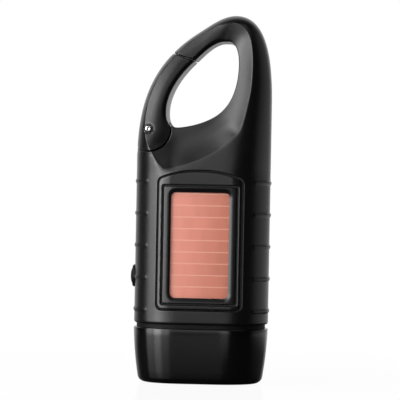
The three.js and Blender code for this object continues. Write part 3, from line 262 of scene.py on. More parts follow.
# How close counts as the same: in millimetres, but for the last two, which are in metres
FLAT_MERGE = 1e-5
LEAST_AREA = 1e-9
LEAST_LENGTH = 1e-9
LEAST_LIFT = 1e-6
SLACK = 0.001
MERGE = 2e-7
LEAST_EDGE = 1e-8


# Lines and distances

def bezier(start, handle, second, end, count):
    """Places along a cubic curve, its start left out."""
    t = np.linspace(0, 1, count + 1)[1:, None]
    start, handle, second, end = (np.asarray(p, float) for p in (start, handle, second, end))
    return ((1 - t) ** 3 * start + 3 * (1 - t) ** 2 * t * handle
            + 3 * (1 - t) * t ** 2 * second + t ** 3 * end)


def curve_from_shares(start, rows, count=200):
    """Places along a run of cubic curves given as shares of half width and height."""
    places = [np.array([start], float)]
    for row in rows:
        handle, second, end = (np.array(row[k:k + 2]) * SIZE for k in (0, 2, 4))
        places.append(bezier(places[-1][-1], handle, second, end, count))
    return np.vstack(places)


def respaced(line, step, closed=False):
    """The same line with its places about one step apart."""
    path = np.vstack([line, line[:1]]) if closed else np.asarray(line)
    run = np.concatenate([[0], np.cumsum(np.linalg.norm(np.diff(path, axis=0), axis=1))])
    count = max(2, round(run[-1] / step))
    at = np.linspace(0, run[-1], count + 1)
    found = np.column_stack([np.interp(at, run, path[:, k]) for k in (0, 1)])
    return found[:-1] if closed else found


def closed_curve(knots, count=24):
    """A smooth closed curve through knots."""
    places = []
    for i in range(len(knots)):
        before, start, end, after = (np.asarray(knots[(i + k) % len(knots)]) for k in (-1, 0, 1, 2))
        places.append(bezier(start, start + (end - before) / 6, end - (after - start) / 6, end, count))
    return np.vstack(places)


def unit(vectors):
    """The vectors at a length of one."""
    return vectors / np.maximum(LEAST_LENGTH, np.linalg.norm(vectors, axis=1))[:, None]


def left_of(line, closed=False):
    """Unit normals on the left-hand side of a line."""
    along = unit(np.roll(line, -1, 0) - np.roll(line, 1, 0) if closed else np.gradient(line, axis=0))
    return np.column_stack([-along[:, 1], along[:, 0]])


def beside(line, distance, closed=False):
    """The line moved to its left by a distance."""
    return line + left_of(line, closed) * distance


def in_batches(places, work):
    """What a function finds for the places, run on some of them at a time to spare memory."""
    return np.concatenate([work(places[k:k + BATCH]) for k in range(0, max(1, len(places)), BATCH)])


def distance_to(places, line, closed=False):
    """Distance from each place to a line."""
    start = line if closed else line[:-1]
    end = np.roll(line, -1, 0) if closed else line[1:]
    along = end - start
    length = (along ** 2).sum(1)

    def work(some):
        toward = some[:, None] - start
        share = np.clip((toward * along).sum(2) / length, 0, 1)
        off = toward - share[..., None] * along
        return np.sqrt((off ** 2).sum(2).min(1))

    return in_batches(places, work)


def distance_from(place, flat):
    """Distance of flat places from one place."""
    return np.hypot(flat[:, 0] - place[0], flat[:, 1] - place[1])


def inside(places, loop):
    """Which places lie inside a closed loop."""
    ax, az = loop.T
    bx, bz = np.roll(loop, -1, 0).T
    rise = np.where(bz == az, 1, bz - az)

    def work(some):
        x, z = some[:, :1], some[:, 1:]
        crosses = (az > z) != (bz > z)
        left = x < (bx - ax) * (z - az) / rise + ax
        return (crosses & left).sum(1) % 2 == 1

    return in_batches(places, work)


def signed_distance(places, loop):
    """Distance outside a closed loop, below zero inside it."""
    return distance_to(places, loop, True) * np.where(inside(places, loop), -1, 1)


def arc(centre, radius, start, end, count=12, to_end=True):
    turn = np.linspace(start, end, count, endpoint=to_end)
    return np.column_stack([centre[0] + radius * np.cos(turn), centre[1] + radius * np.sin(turn)])


def circle(centre, radius, count=64):
    return arc(centre, radius, 0, 2 * np.pi, count, to_end=False)


def rounded_rect(low, high, radius):
    """A rectangle with round corners, counter-clockwise, and places along its sides."""
    quarter = np.pi / 2
    centres = [(high[0] - radius, low[1] + radius), (high[0] - radius, high[1] - radius),
               (low[0] + radius, high[1] - radius), (low[0] + radius, low[1] + radius)]
    arcs = [arc(place, radius, (k - 1) * quarter, k * quarter, 10) for k, place in enumerate(centres)]
    parts = []
    for k, turn in enumerate(arcs):
        after = arcs[(k + 1) % 4][0]
        number = max(2, round(np.linalg.norm(after - turn[-1]) / SIDE_STEP) + 1)
        parts += [turn, np.linspace(turn[-1], after, number)[1:-1]]
    return np.vstack(parts)


def soft_min(a, b, blend):
    """The lower of two depths, with a soft valley where they meet."""
    mixed = np.clip((blend - np.abs(a - b)) / blend, 0, 1)
    return np.minimum(a, b) - mixed * mixed * blend / 4


def edge_drop(distance, radius):
    """How far a rounded edge has fallen at a distance in from the edge."""
    left = np.clip(1 - np.maximum(distance, 0) / radius, 0, 1)
    return radius * (1 - np.sqrt(np.maximum(0, 1 - left ** 2)))


def eased(share):
    """A share held between 0 and 1, with a soft start and end."""
    share = np.clip(share, 0, 1)
    return share * share * (3 - 2 * share)


# The torch's outer form

def taper(z):
    return eased((z - TAPER_START) / (HEIGHT - TAPER_START))


def depth_at(z):
    return HALF_DEPTH + (LOOP_HALF_DEPTH - HALF_DEPTH) * taper(z)


def roll_at(z):
    return FLANK_ROLL + (LOOP_ROLL - FLANK_ROLL) * np.sqrt(taper(z))


def rolled(distance, width):
    """Depth of the rolled edge as a share of full depth."""
    return (1 - (1 - np.clip(distance / width, 0, 1)) ** ROLL_POWER) ** (1 / ROLL_POWER)


def flank_levels():
    """Heights of the rows on a straight flank: closer at the bottom edge, the button and each rib."""
    steps = np.arange(FLANK_START, FLANK_END, FLANK_STEP)
    reach = BORE_ROWS + BORE_MARGIN_ROWS
    steps = steps[np.abs(steps - BUTTON_Z) > (reach + 1) * BORE_ROW]
    steps = np.concatenate([steps, BUTTON_Z + BORE_ROW * np.arange(-reach, reach + 1)])
    clear = np.abs(steps[:, None] - RIB_LEVELS).min(1) > RIB_CLEAR
    across = RIB_HALF * np.concatenate([-RIB_ROW_SHARES, [0], RIB_ROW_SHARES])
    levels = [steps[clear], (RIB_LEVELS[:, None] + across).ravel(),
              [BODY_BOTTOM], BODY_BOTTOM + BOTTOM_EDGE * EDGE_SHARES]
    return np.unique(np.concatenate(levels).round(6))


def column(x, levels):
    """Places at one X and several heights."""
    return np.column_stack([np.full(len(levels), x), levels])


def torch_outline():
    """The outline from the right flank's foot over the crown to the left flank's foot."""
    right_top = SIDE_TOP_SHARE * HEIGHT
    levels = flank_levels()
    straight = np.arange(levels[-1] + SIDE_STEP, right_top - STEP_ROOM, SIDE_STEP)
    right = np.concatenate([levels, straight])
    crown = respaced(curve_from_shares((HALF_WIDTH, right_top), OUTLINE_SHARES), LINE_STEP)
    left = levels[levels < crown[-1][1] - STEP_ROOM][::-1]
    return np.vstack([column(HALF_WIDTH, right), crown, column(-LEFT_SHARE * HALF_WIDTH, left)])


def toward_left(loop):
    """A loop in the direction that has the opening's middle on its left."""
    return loop[::-1] if np.cross(loop[1] - loop[0], HOLE_CENTRE - loop[0]) < 0 else loop


OUTLINE = torch_outline()
HOLE_START = np.array(HOLE_SHARES[-1][4:]) * SIZE
HOLE = toward_left(respaced(curve_from_shares(HOLE_START, HOLE_SHARES), LOOP_STEP)[:-1])
CREASE = toward_left(respaced(closed_curve(np.array(DISH_SHARES) * SIZE), LOOP_STEP, True))


def flank_distance(flat):
    """Distance in from the torch's outline, which goes on straight below the body."""
    foot = np.array([[0, BODY_BOTTOM]])
    line = np.vstack([OUTLINE[:1] - foot, OUTLINE, OUTLINE[-1:] - foot])
    return distance_to(flat, line)


def base_depth(flat, distance):
    z = flat[:, 1]
    return depth_at(z) * rolled(distance, roll_at(z))


def around(flat):
    """Angle and radius about the middle of the opening."""
    off = flat - HOLE_CENTRE
    return np.arctan2(off[:, 1], off[:, 0]), np.hypot(off[:, 0], off[:, 1])


def by_angle(loop, values):
    """Values along a loop as a function of the angle about the opening's middle."""
    angle, _ = around(loop)
    order = np.argsort(angle)
    angle, values = angle[order], np.asarray(values)[order]
    return lambda at: np.interp(at, angle, values, period=2 * np.pi)


hole_radius = by_angle(HOLE, around(HOLE)[1])
crease_radius = by_angle(CREASE, around(CREASE)[1])


def smooth_crease_depth():
    """Depth of the dish at its crease, evened out along the crease."""
    raw = by_angle(CREASE, base_depth(CREASE, flank_distance(CREASE)) - CREASE_STEP)
    angles = np.linspace(-np.pi, np.pi, DISH_ANGLES, endpoint=False)
    values = raw(angles)
    steps = np.arange(-DISH_SMOOTHING_REACH, DISH_SMOOTHING_REACH + 1)
    weight = np.exp(-(steps * (2 * np.pi / DISH_ANGLES) / DISH_SMOOTHING) ** 2 / 2)
    weight /= weight.sum()
    evened = sum(w * np.roll(values, step) for w, step in zip(weight, steps))
    return lambda at: np.interp(at, angles, evened, period=2 * np.pi)


crease_depth = smooth_crease_depth()


def leaning(flat, left, up, less):
    """How far the opening's edge faces the gate and the arm above it, from 0 to 1."""
    angle, _ = around(flat)
    outward = -left_of(HOLE, True)
    return by_angle(HOLE, np.clip(up * outward[:, 1] - left * outward[:, 0] - less, 0, 1))(angle)


def evened_distance(places, distance):
    """Distance in from the crease, evened out where two stretches of it are about as near.

    Over a straight line, distances to the power of -5 add up to 4 / 3 of the line's distance to the
    power of -4.
    """
    line = respaced(CREASE, EVEN_STEP, True) - EVEN_STEP / 1000

    def work(some):
        return (((some[:, None] - line) ** 2).sum(2) ** -2.5).sum(1)

    even = (4 / 3 / (in_batches(places, work) * EVEN_STEP)) ** 0.25
    return distance + (even - distance) * eased((distance - EVEN_START) / EVEN_RUN)


def dish_depth(flat, to_hole):
    """Depth of the dish round the opening, which rises steeply outside its crease."""
    angle, _ = around(flat)
    to_crease = signed_distance(flat, CREASE)
    within = evened_distance(flat, np.clip(-to_crease, 0, None))
    width = within + to_hole
    within = within / (width + DISH_LIP)
    sag_share = DISH_SAG_SHARE + (DISH_WIDE_SAG - DISH_SAG_SHARE) * eased((width - DISH_NARROW) / DISH_NARROW)
    lip_z = HOLE_CENTRE[1] + hole_radius(angle) * np.sin(angle)
    start, end = crease_depth(angle), DISH_DEPTH_SHARE * depth_at(lip_z)
    sag = sag_share * np.maximum(0, start - end) - GATE_CROWN * leaning(flat, *CROWN_LEAN)
    bowl = start + (end - start) * within - sag * np.sin(np.pi * within)
    return bowl + CREASE_SLOPE * np.maximum(0, to_crease)


def lip_width(flat):
    """Width of the opening's soft edge, widest on the gate and the arm above it."""
    return LIP_EDGE + (LIP_BEVEL - LIP_EDGE) * leaning(flat, *LIP_LEAN)


def rib_height(flat):
    """How far the ribs stand out from the flanks."""
    across = np.maximum(0, HALF_WIDTH - RIB_REACH - np.abs(flat[:, 0]))
    off = np.hypot(across, np.abs(flat[:, 1:] - RIB_LEVELS).min(1)) / RIB_HALF
    inward = eased((HALF_WIDTH - np.abs(flat[:, 0]) - RIB_FADE_START) / RIB_FADE_RUN)
    proud = RIB_PROUD * (1 - (1 - RIB_INNER_SHARE) * inward)
    return proud * np.cos(np.pi / 2 * np.minimum(1, off)) ** RIB_ROUNDNESS


def gate_outline(grow):
    """The gate's seat: its round end at the pivot and the slanted split above."""
    outer, inner = (np.array(share) * SIZE for share in SPLIT_SHARES)
    along = (inner - outer) / np.linalg.norm(inner - outer)
    up = np.array([-along[1], along[0]])
    left = outer - along * ARM_SWEEP + up * grow
    right = inner + along * WALL + up * grow
    end = arc(PIVOT, GATE_END + grow, np.pi, 2 * np.pi + GATE_LIMIT, 60)
    return np.vstack([end, np.linspace(right, left, 80), [[left[0], PIVOT[1]]]])


GATE = gate_outline(0)
GATE_SEAT = gate_outline(GATE_GAP)


def outward_normal(flat, distance):
    """Unit normals of the rolled form, with depth as the second number."""
    moves = SLOPE_STEP * np.eye(2)
    slope = np.column_stack([flank_distance(flat + move) - flank_distance(flat - move) for move in moves])
    slope = unit(slope)
    foot = distance < SLOPE_STEP
    slope[foot & (flat[:, 0] > 0) & (flat[:, 1] < TAPER_START)] = [-1, 0]
    slope[foot & (flat[:, 0] < 0) & (flat[:, 1] < TAPER_START)] = [1, 0]
    width, full = roll_at(flat[:, 1]), depth_at(flat[:, 1])
    left = 1 - np.clip(distance / width, 0, 1)
    sideways = left ** (ROLL_POWER - 1) / width
    forward = rolled(distance, width) ** (ROLL_POWER - 1) / full
    normal = np.column_stack([-slope[:, 0] * sideways, forward, -slope[:, 1] * sideways])
    return unit(normal)


# Meshes over flat places

def flat_mesh(lines, places, keep):
    """Triangles over flat places. Each line is a row that edges follow, and whether it closes."""
    points, edges = [], []
    for line, closed in lines:
        first = len(points)
        points.extend(line)
        edges.extend((first + k, first + k + 1) for k in range(len(line) - 1))
        if closed:
            edges.append((len(points) - 1, first))
    points.extend(places)
    made = delaunay_2d_cdt([Vector(p) for p in points], edges, [], 0, FLAT_MERGE)
    flat = np.array([v[:] for v in made[0]])
    faces = np.array([f for f in made[2] if len(f) == 3])
    corners = flat[faces]
    first, second = corners[:, 1] - corners[:, 0], corners[:, 2] - corners[:, 0]
    turn = first[:, 0] * second[:, 1] - first[:, 1] * second[:, 0]
    faces[turn < 0] = faces[turn < 0][:, ::-1]
    faces = faces[(np.abs(turn) > LEAST_AREA) & keep(corners.mean(1))]
    used, renamed = np.unique(faces, return_inverse=True)
    return flat[used], renamed.reshape(faces.shape)


def away_from(places, others, step):
    """The places with none of the others within about a step."""
    taken = set()
    for x, z in np.floor(np.asarray(others) / step).astype(int):
        taken.update((x + i, z + k) for i in (-1, 0, 1) for k in (-1, 0, 1))
    cells = np.floor(places / step).astype(int)
    return places[[tuple(cell) not in taken for cell in cells]]


def grid(low, high, step):
    x = np.arange(low[0], high[0], step)
    z = np.arange(low[1], high[1], step * math.sqrt(3) / 2)
    places = np.stack(np.meshgrid(x, z), -1)
    places[1::2, :, 0] += step / 2
    return places.reshape(-1, 2)


def boundary(faces):
    """Edges of only one triangle, in that triangle's direction."""
    edges = np.vstack([faces[:, [0, 1]], faces[:, [1, 2]], faces[:, [2, 0]]])
    have = set(map(tuple, edges.tolist()))
    return np.array([e for e in edges.tolist() if (e[1], e[0]) not in have])


def between(flat, faces, outer, inner, side, parting=0.0):
    """A closed solid between an outer and an inner surface over one flat mesh.

    Outer holds a place for each flat place, with depth as its second number, and inner a depth.
    Parting chamfers the edge that lies in the plane between the shells.
    """
    rim = boundary(faces)
    lower = np.column_stack([outer[:, 0], inner, outer[:, 2]])
    outer = outer.copy()
    around_rim = np.unique(rim)
    if parting:
        inward = np.zeros_like(flat)
        along = unit(flat[rim[:, 1]] - flat[rim[:, 0]])
        for end in (0, 1):
            np.add.at(inward, rim[:, end], np.column_stack([-along[:, 1], along[:, 0]]))
        inward = unit(inward)
        flush = around_rim[inner[around_rim] < parting / 2]
        outer[flush, 1] = np.maximum(outer[flush, 1], parting)
        lower[flush, 0] += inward[flush, 0] * parting
        lower[flush, 2] += inward[flush, 1] * parting
    edge = outer[around_rim].copy()
    edge[:, 1] = np.clip(inner[around_rim] + parting, None, outer[around_rim, 1])
    count = len(flat)
    edge_of = {v: 2 * count + k for k, v in enumerate(around_rim.tolist())}
    made = [tuple(face) for face in faces.tolist()]
    made += [(c + count, b + count, a + count) for a, b, c in faces.tolist()]
    for a, b in rim.tolist():
        made.append((b, a, edge_of[a], edge_of[b]))
        made.append((edge_of[b], edge_of[a], a + count, b + count))
    places = np.vstack([outer, lower, edge])
    places[:, 1] *= side
    return places, made


SHARP_ANGLE = math.radians(35)


def smooth_mesh(name, parts, drop=None):
    """One mesh from parts of places in millimetres and faces, smooth but for its sharp edges."""
    mesh = bpy.data.meshes.new(name)
    places, faces = [], []
    for part_places, part_faces in parts:
        first = sum(len(p) for p in places)
        places.append(np.asarray(part_places, float))
        faces.extend(tuple(v + first for v in f) for f in part_faces)
    mesh.from_pydata((np.vstack(places) * MM).tolist(), [], faces)
    shape = bmesh.new()
    shape.from_mesh(mesh)
    if drop:
        bmesh.ops.delete(shape, geom=[face for face in shape.faces if drop(face)], context="FACES")
    bmesh.ops.remove_doubles(shape, verts=shape.verts, dist=MERGE)
    bmesh.ops.dissolve_degenerate(shape, edges=shape.edges, dist=LEAST_EDGE)
    bmesh.ops.recalc_face_normals(shape, faces=shape.faces)
    shape.to_mesh(mesh)
    shape.free()
    mesh.polygons.foreach_set("use_smooth", [True] * len(mesh.polygons))
    mesh.set_sharp_from_angle(angle=SHARP_ANGLE)
    return mesh


def placed(name, data):
    """A new object in the scene."""
    made = bpy.data.objects.new(name, data)
    bpy.context.scene.collection.objects.link(made)
    return made


# Rows of places that follow the form

def roll_rows():
    """Rows at even turns of the rolled edge, in from the outline.

    The outline's closest places, round each rib, have rows only as far in as the rib reaches.
    """
    inward = left_of(OUTLINE)
    flank = OUTLINE[:, 1] < TAPER_START
    inward[flank & (OUTLINE[:, 0] > 0)] = [-1, 0]
    inward[flank & (OUTLINE[:, 0] < 0)] = [1, 0]
    width = roll_at(OUTLINE[:, 1])[:, None]
    nearest_rib = np.abs(OUTLINE[:, 1:] - RIB_LEVELS).min(1) / RIB_HALF
    fine = flank & (nearest_rib > RIB_FINE[0]) & (nearest_rib < RIB_FINE[1])
    rows = []
    for angle in ROLL_ANGLES:
        distance = width * (1 - math.cos(angle) ** (2 / ROLL_POWER))
        kept = ~fine | (distance[:, 0] < RIB_REACH + 2 * RIB_HALF)
        row, wanted = (OUTLINE + inward * distance)[kept], distance[kept, 0]
        rows.append(row[np.abs(flank_distance(row) - wanted) < ROLL_SLIP[0] + ROLL_SLIP[1] * wanted])
    return np.vstack(rows)


def rib_ends():
    """Rings round the inner end of each rib."""
    rings = []
    for level in RIB_LEVELS:
        for flank in (-1, 1):
            for share in RIB_ROW_SHARES:
                half = arc((0, 0), RIB_HALF * share, np.pi / 2, 3 * np.pi / 2, 11)
                rings.append(half * [flank, 1] + [flank * (HALF_WIDTH - RIB_REACH), level])
    return np.vstack(rings)


def dish_rows():
    """Rows in the dish: along the opening's lip, along both sides of the crease, and between them."""
    lip_rows = [beside(HOLE, -offset, True) for offset in LIP_OFFSETS]
    crease_rows = [beside(CREASE, offset, True) for offset in (*CREASE_OFFSETS, *-CREASE_OFFSETS[1:])]
    turns = np.linspace(-np.pi, np.pi, BOWL_PLACES, endpoint=False)
    inner, outer = hole_radius(turns), crease_radius(turns)
    ahead = np.column_stack([np.cos(turns), np.sin(turns)])
    shares = np.linspace(0, 1, BOWL_RINGS + 1)[1:-1]
    bowl = [HOLE_CENTRE + (inner + (outer - inner) * share)[:, None] * ahead for share in shares]
    structured = np.vstack(lip_rows + crease_rows)
    return structured, away_from(np.vstack(bowl), structured, BOWL_ROOM)


ROLL_ROWS = roll_rows()
RIB_ENDS = rib_ends()
DISH_ROWS, BOWL_ROWS = dish_rows()
BOTTOM_X = np.arange(-HALF_WIDTH + 4, HALF_WIDTH - 4, FLANK_STEP)
BOTTOM_ROWS = np.vstack([
    column(BODY_BOTTOM + BOTTOM_EDGE * share, BOTTOM_X)[:, ::-1] for share in EDGE_SHARES])


def edge_rows(line, closed=True, floor=True):
    """Rows on the raised side of a cut edge, which lies to the line's right, and two on its floor."""
    offsets = [*(-GAP_EDGE * EDGE_SHARES), *(FLOOR_OFFSETS if floor else ())]
    return np.vstack([beside(line, offset, closed) for offset in offsets])


def cut_lines(line, closed=True):
    """Two lines a hair apart at a step in depth, so that its wall stands upright."""
    return [(beside(line, offset, closed), closed) for offset in CUT_OFFSETS]


def shell_places(extra):
    """Free places over a shell: the rolled edge, the ribs, the dish, what is added, and a filling."""
    special = np.vstack([RIB_ENDS, DISH_ROWS, *extra])
    rolls = ROLL_ROWS[signed_distance(ROLL_ROWS, CREASE) > DISH_ROOM]
    rolls = away_from(rolls, np.vstack(extra), ROW_ROOM)
    taken = np.vstack([special, rolls, BOWL_ROWS, OUTLINE])
    filling = grid((-HALF_WIDTH, BODY_BOTTOM + FILL_START), (HALF_WIDTH, HEIGHT), SHELL_FILL)
    filling = away_from(filling, taken, SHELL_FILL / 2)
    places = np.vstack([special, rolls, BOWL_ROWS, filling])
    return places[inside(places, OUTLINE)]


# The two shells

def bore_line():
    """Where the bore of the side button cuts the left flank, at the heights of the flank's rows."""
    levels = OUTLINE[OUTLINE[:, 0] < 0, 1]
    rise = np.sort(levels[np.abs(levels - BUTTON_Z) < BUTTON_BORE]) - BUTTON_Z
    depth = np.sqrt(BUTTON_BORE ** 2 - rise ** 2)
    distance = FLANK_ROLL * (1 - rolled(1 - depth / HALF_DEPTH, 1))
    return np.column_stack([-LEFT_SHARE * HALF_WIDTH + distance, BUTTON_Z + rise])


BORE_LINE = bore_line()


def in_shell(flat):
    """Which places belong to a shell seen from the front."""
    outside = inside(flat, OUTLINE) & ~inside(flat, HOLE) & ~inside(flat, GATE_SEAT)
    level = np.abs(flat[:, 1] - BUTTON_Z) < BUTTON_BORE
    bore = np.interp(flat[:, 1], BORE_LINE[:, 1], BORE_LINE[:, 0])
    return outside & ~(level & (flat[:, 0] < bore))


def cavity_depth(flat, distance, deepest):
    """Depth of the hollow inside a shell, with the screw bosses and the button's bore."""
    x, z = flat.T
    depth = (depth_at(z) - WALL) * rolled(distance - WALL, roll_at(z))
    depth = np.where(z < CAVITY_TOP, np.minimum(depth, deepest), 0)
    for place in SCREW_PLACES:
        depth = np.where(distance_from(place, flat) < SCREW_HEAD + FIT, 0, depth)
    bore = np.sqrt(np.maximum(0, BUTTON_BORE ** 2 - (z - BUTTON_Z) ** 2))
    return np.where(x < -HALF_WIDTH + 2 * WALL, np.maximum(depth, bore), depth)


def pit(depth, outside, floor):
    """The depth with a pit where outside is below zero, and a soft edge round the pit."""
    sunk = soft_min(depth, np.full(len(depth), floor), BOTTOM_EDGE)
    return np.where(outside < 0, sunk, depth - edge_drop(outside, GAP_EDGE))


def torch_surface(flat, seat, side=0):
    """Places on the torch's outer surface, and their distance in from the outline.

    The gate has no side of its own, since its halves have none of the shells' pits.
    """
    distance = flank_distance(flat)
    to_hole = distance_to(flat, HOLE, True)
    depth = soft_min(base_depth(flat, distance), dish_depth(flat, to_hole), CREASE_BLEND)
    depth = depth - edge_drop(to_hole, lip_width(flat))
    if side == FRONT:
        depth = pit(depth, signed_distance(flat, panel_loop(FIT)), POCKET_DEPTH)
    if side == BACK:
        above_hub = np.column_stack([flat[:, 0], np.maximum(HUB_Z, flat[:, 1])])
        depth = pit(depth, distance_from(HUB, above_hub) - RECESS_RADIUS, RECESS_DEPTH)
        for place in SCREW_PLACES:
            depth = pit(depth, distance_from(place, flat) - SCREW_HEAD - FIT, SCREW_SEAT)
        depth = pit(depth, distance_from(HUB, flat) - BUSH_FLANGE - FIT, RECESS_DEPTH - 2 * FIT)
    lift = rib_height(flat) - edge_drop(flat[:, 1] - BODY_BOTTOM, BOTTOM_EDGE)
    lift -= edge_drop(distance_to(flat, seat, True), GAP_EDGE)
    places = np.column_stack([flat[:, 0], depth, flat[:, 1]])
    lifted = np.abs(lift) > LEAST_LIFT
    off = outward_normal(flat[lifted], distance[lifted]) * lift[lifted, None]
    places[lifted, :2] += off[:, :2]
    return places, distance


def bend(start, handle, end, count):
    """A quarter turn from start to end, drawn toward its handle."""
    start, handle, end = (np.array(p, float) for p in (start, handle, end))
    return bezier(start, start + (handle - start) * 2 / 3, end + (handle - end) * 2 / 3, end, count)


def panel_loop(grow):
    """The panel's outline with its arched top edge, grown all round."""
    half, low = BEZEL_HIGH[0] - PANEL_TRIM + grow, BEZEL_LOW[2] + PANEL_TRIM - grow
    crown = BEZEL_HIGH[2] + grow
    shoulder = crown - PANEL_ARCH
    side, top = half - PANEL_CORNER, shoulder + PANEL_CORNER * PANEL_ARCH / half
    loop = np.vstack([
        arc((side, low + PANEL_CORNER), PANEL_CORNER, -np.pi / 2, 0),
        [(half, shoulder - PANEL_CORNER)],
        bend((half, shoulder - PANEL_CORNER), (half, shoulder), (side, top), 24),
        bend((side, top), (half / 2, crown), (0, crown), 24),
        bend((0, crown), (-half / 2, crown), (-side, top), 24),
        bend((-side, top), (-half, shoulder), (-half, shoulder - PANEL_CORNER), 24),
        arc((-side, low + PANEL_CORNER), PANEL_CORNER, np.pi, 3 * np.pi / 2),
    ])
    return respaced(loop, LINE_STEP, True)


def lug(side):
    """Half of the hinge lug that stands in the gate's slot."""
    reach = GATE_END + 2 * GATE_GAP
    neck = PIVOT[1] - GATE_SWING
    head, foot, hole = circle(PIVOT, LUG_RADIUS), circle(PIVOT, reach), circle(PIVOT, PIN_HOLE, 32)

    def keep(flat):
        near = inside(flat, head) | (inside(flat, foot) & (flat[:, 1] < neck))
        return near & ~inside(flat, hole) & inside(flat, OUTLINE)

    level = np.array([[PIVOT[0] - reach, neck], [PIVOT[0] + reach, neck]])
    lines = [(head, True), (foot, True), (hole, True), (level, False), (OUTLINE, False)]
    free = np.vstack([circle(PIVOT, LUG_RADIUS - LUG_EDGE), circle(PIVOT, LUG_ROW_RADIUS, 40)])
    flat, faces = flat_mesh(lines, free, keep)
    top = LUG_HALF - edge_drop(LUG_RADIUS - distance_from(PIVOT, flat), LUG_EDGE)
    top = np.minimum(top, base_depth(flat, flank_distance(flat)))
    outer = np.column_stack([flat[:, 0], np.maximum(top, LUG_LEAST), flat[:, 1]])
    return between(flat, faces, outer, np.zeros(len(flat)), side)


def make_shell(side):
    """Front or back half of the body with its half of the loop."""
    lines = [(OUTLINE, True), (HOLE, True), (GATE_SEAT, True), (BORE_LINE, False)]
    extra = [edge_rows(GATE_SEAT, floor=False), BOTTOM_ROWS]
    bush = circle(HUB, BUSH_BORE, 48)
    if side == FRONT:
        cuts = [(panel_loop(FIT), True)]
    else:
        cuts = [(arc(HUB, RECESS_RADIUS, RECESS_TURN, np.pi - RECESS_TURN, 160), False)]
        cuts += [(circle(place, SCREW_HEAD + FIT, 48), True) for place in SCREW_PLACES]
        cuts.append((circle(HUB, BUSH_FLANGE + FIT), True))
    for cut in cuts:
        lines += cut_lines(*cut)
        extra.append(edge_rows(*cut))
    if side == BACK:
        lines.append((bush, True))
        for flank in (-1, 1):
            extra += [column(flank * (HALF_WIDTH - offset), RUN_OUT_LEVELS) for offset in RUN_OUT_OFFSETS]

    def keep(flat):
        kept = in_shell(flat)
        return kept & ~inside(flat, bush) if side == BACK else kept

    flat, faces = flat_mesh(lines, shell_places(extra), keep)
    outer, distance = torch_surface(flat, GATE_SEAT, side)
    deepest = CAVITY_FRONT if side == FRONT else CAVITY_BACK
    inner = np.minimum(cavity_depth(flat, distance, deepest), outer[:, 1])
    return [between(flat, faces, outer, inner, side, PARTING), lug(side)]


# Finishes

def node(tree, kind, inputs=(), **settings):
    """A shader node. Its inputs, by name or number, are plain values or outputs of other nodes."""
    made = tree.nodes.new(f"ShaderNode{kind}")
    for name, value in settings.items():
        setattr(made, name, value)
    for key, value in dict(inputs).items():
        if isinstance(value, bpy.types.NodeSocket):
            tree.links.new(value, made.inputs[key])
        else:
            made.inputs[key].default_value = value
    return made


def maths(tree, operation, *inputs):
    return node(tree, "Math", enumerate(inputs), operation=operation).outputs[0]


def vector_maths(tree, operation, inputs, result):
    return node(tree, "VectorMath", inputs, operation=operation).outputs[result]


def mapped(tree, value, source=(0, 1), target=(0, 1), soft=False):
    """A value moved from one range to another, held at its ends."""
    inputs = dict(zip(("Value", "From Min", "From Max", "To Min", "To Max"), (value, *source, *target)))
    made = node(tree, "MapRange", inputs, interpolation_type="SMOOTHSTEP" if soft else "LINEAR")
    return made.outputs["Result"]


def mixed(tree, factor, first, second, colours=False):
    """A mix of two numbers or of two colours."""
    kind, at, result = ("RGBA", 6, 2) if colours else ("FLOAT", 2, 0)
    return node(tree, "Mix", {0: factor, at: first, at + 1: second}, data_type=kind).outputs[result]


def colour_ramp(tree, value, *stops):
    """Colours by a value, each stop a place and a colour, its two end stops first."""
    made = node(tree, "ValToRGB", {"Fac": value})
    elements = made.color_ramp.elements
    for number, (at, colour) in enumerate(stops):
        stop = elements[number] if number < 2 else elements.new(at)
        stop.position, stop.color = at, (*colour, 1)
    return made.outputs["Color"]


def new_finish(name):
    """A material, its node tree, its shader and its object coordinates."""
    material = bpy.data.materials.new(name)
    material.use_nodes = True
    tree = material.node_tree
    return material, tree, tree.nodes["Principled BSDF"], node(tree, "TexCoord").outputs["Object"]


def set_shader(shader, **values):
    """Constants on a shader's own inputs, with _ for each space in a name."""
    for name, value in values.items():
        shader.inputs[name.replace("_", " ")].default_value = value


def join(tree, shader, **outputs):
    """Outputs of other nodes to a shader's inputs, with _ for each space in a name."""
    for name, output in outputs.items():
        tree.links.new(output, shader.inputs[name.replace("_", " ")])


DRIFT_SCALE = 70
GRAIN_HEIGHT = 0.00002


def moulded(name, colour, roughness, grain=0.35, wear=0.15, scale=9000, metallic=0, specular=0.5, alpha=1):
    """Moulded or machined stuff: fine grain in its bump, and a slow drift in its shade and its gloss."""
    material, tree, shader, place = new_finish(name)
    set_shader(shader, Metallic=metallic, Specular_IOR_Level=specular, Alpha=alpha)
    drift = node(tree, "TexNoise", {"Vector": place, "Scale": DRIFT_SCALE, "Detail": 4, "Roughness": 0.6})
    fine = node(tree, "TexNoise", {"Vector": place, "Scale": scale, "Detail": 2, "Roughness": 0.5})
    worn = (1 - wear, 1 + wear)
    dark, light = ([channel * share for channel in colour] for share in worn)
    bump = node(tree, "Bump", {"Strength": grain, "Distance": GRAIN_HEIGHT, "Height": fine.outputs["Fac"]})
    join(tree, shader,
         Base_Color=colour_ramp(tree, drift.outputs["Fac"], (0.3, dark), (0.7, light)),
         Roughness=mapped(tree, drift.outputs["Fac"], target=[roughness * share for share in worn]),
         Normal=bump.outputs["Normal"])
    return material


# The cell's colour at its left and right ends: the paler left end is painted light falling from the left, the
# darker right end painted shade
CELL_LIT_LEFT = (0.79, 0.30, 0.225)
CELL_SHADED_RIGHT = (0.49, 0.152, 0.094)
CELL_LINE = (0.90, 0.52, 0.40)
STRIP_PITCH = 3.6
STRIP_LOW = 30.2
LINE_STRENGTH = 0.38
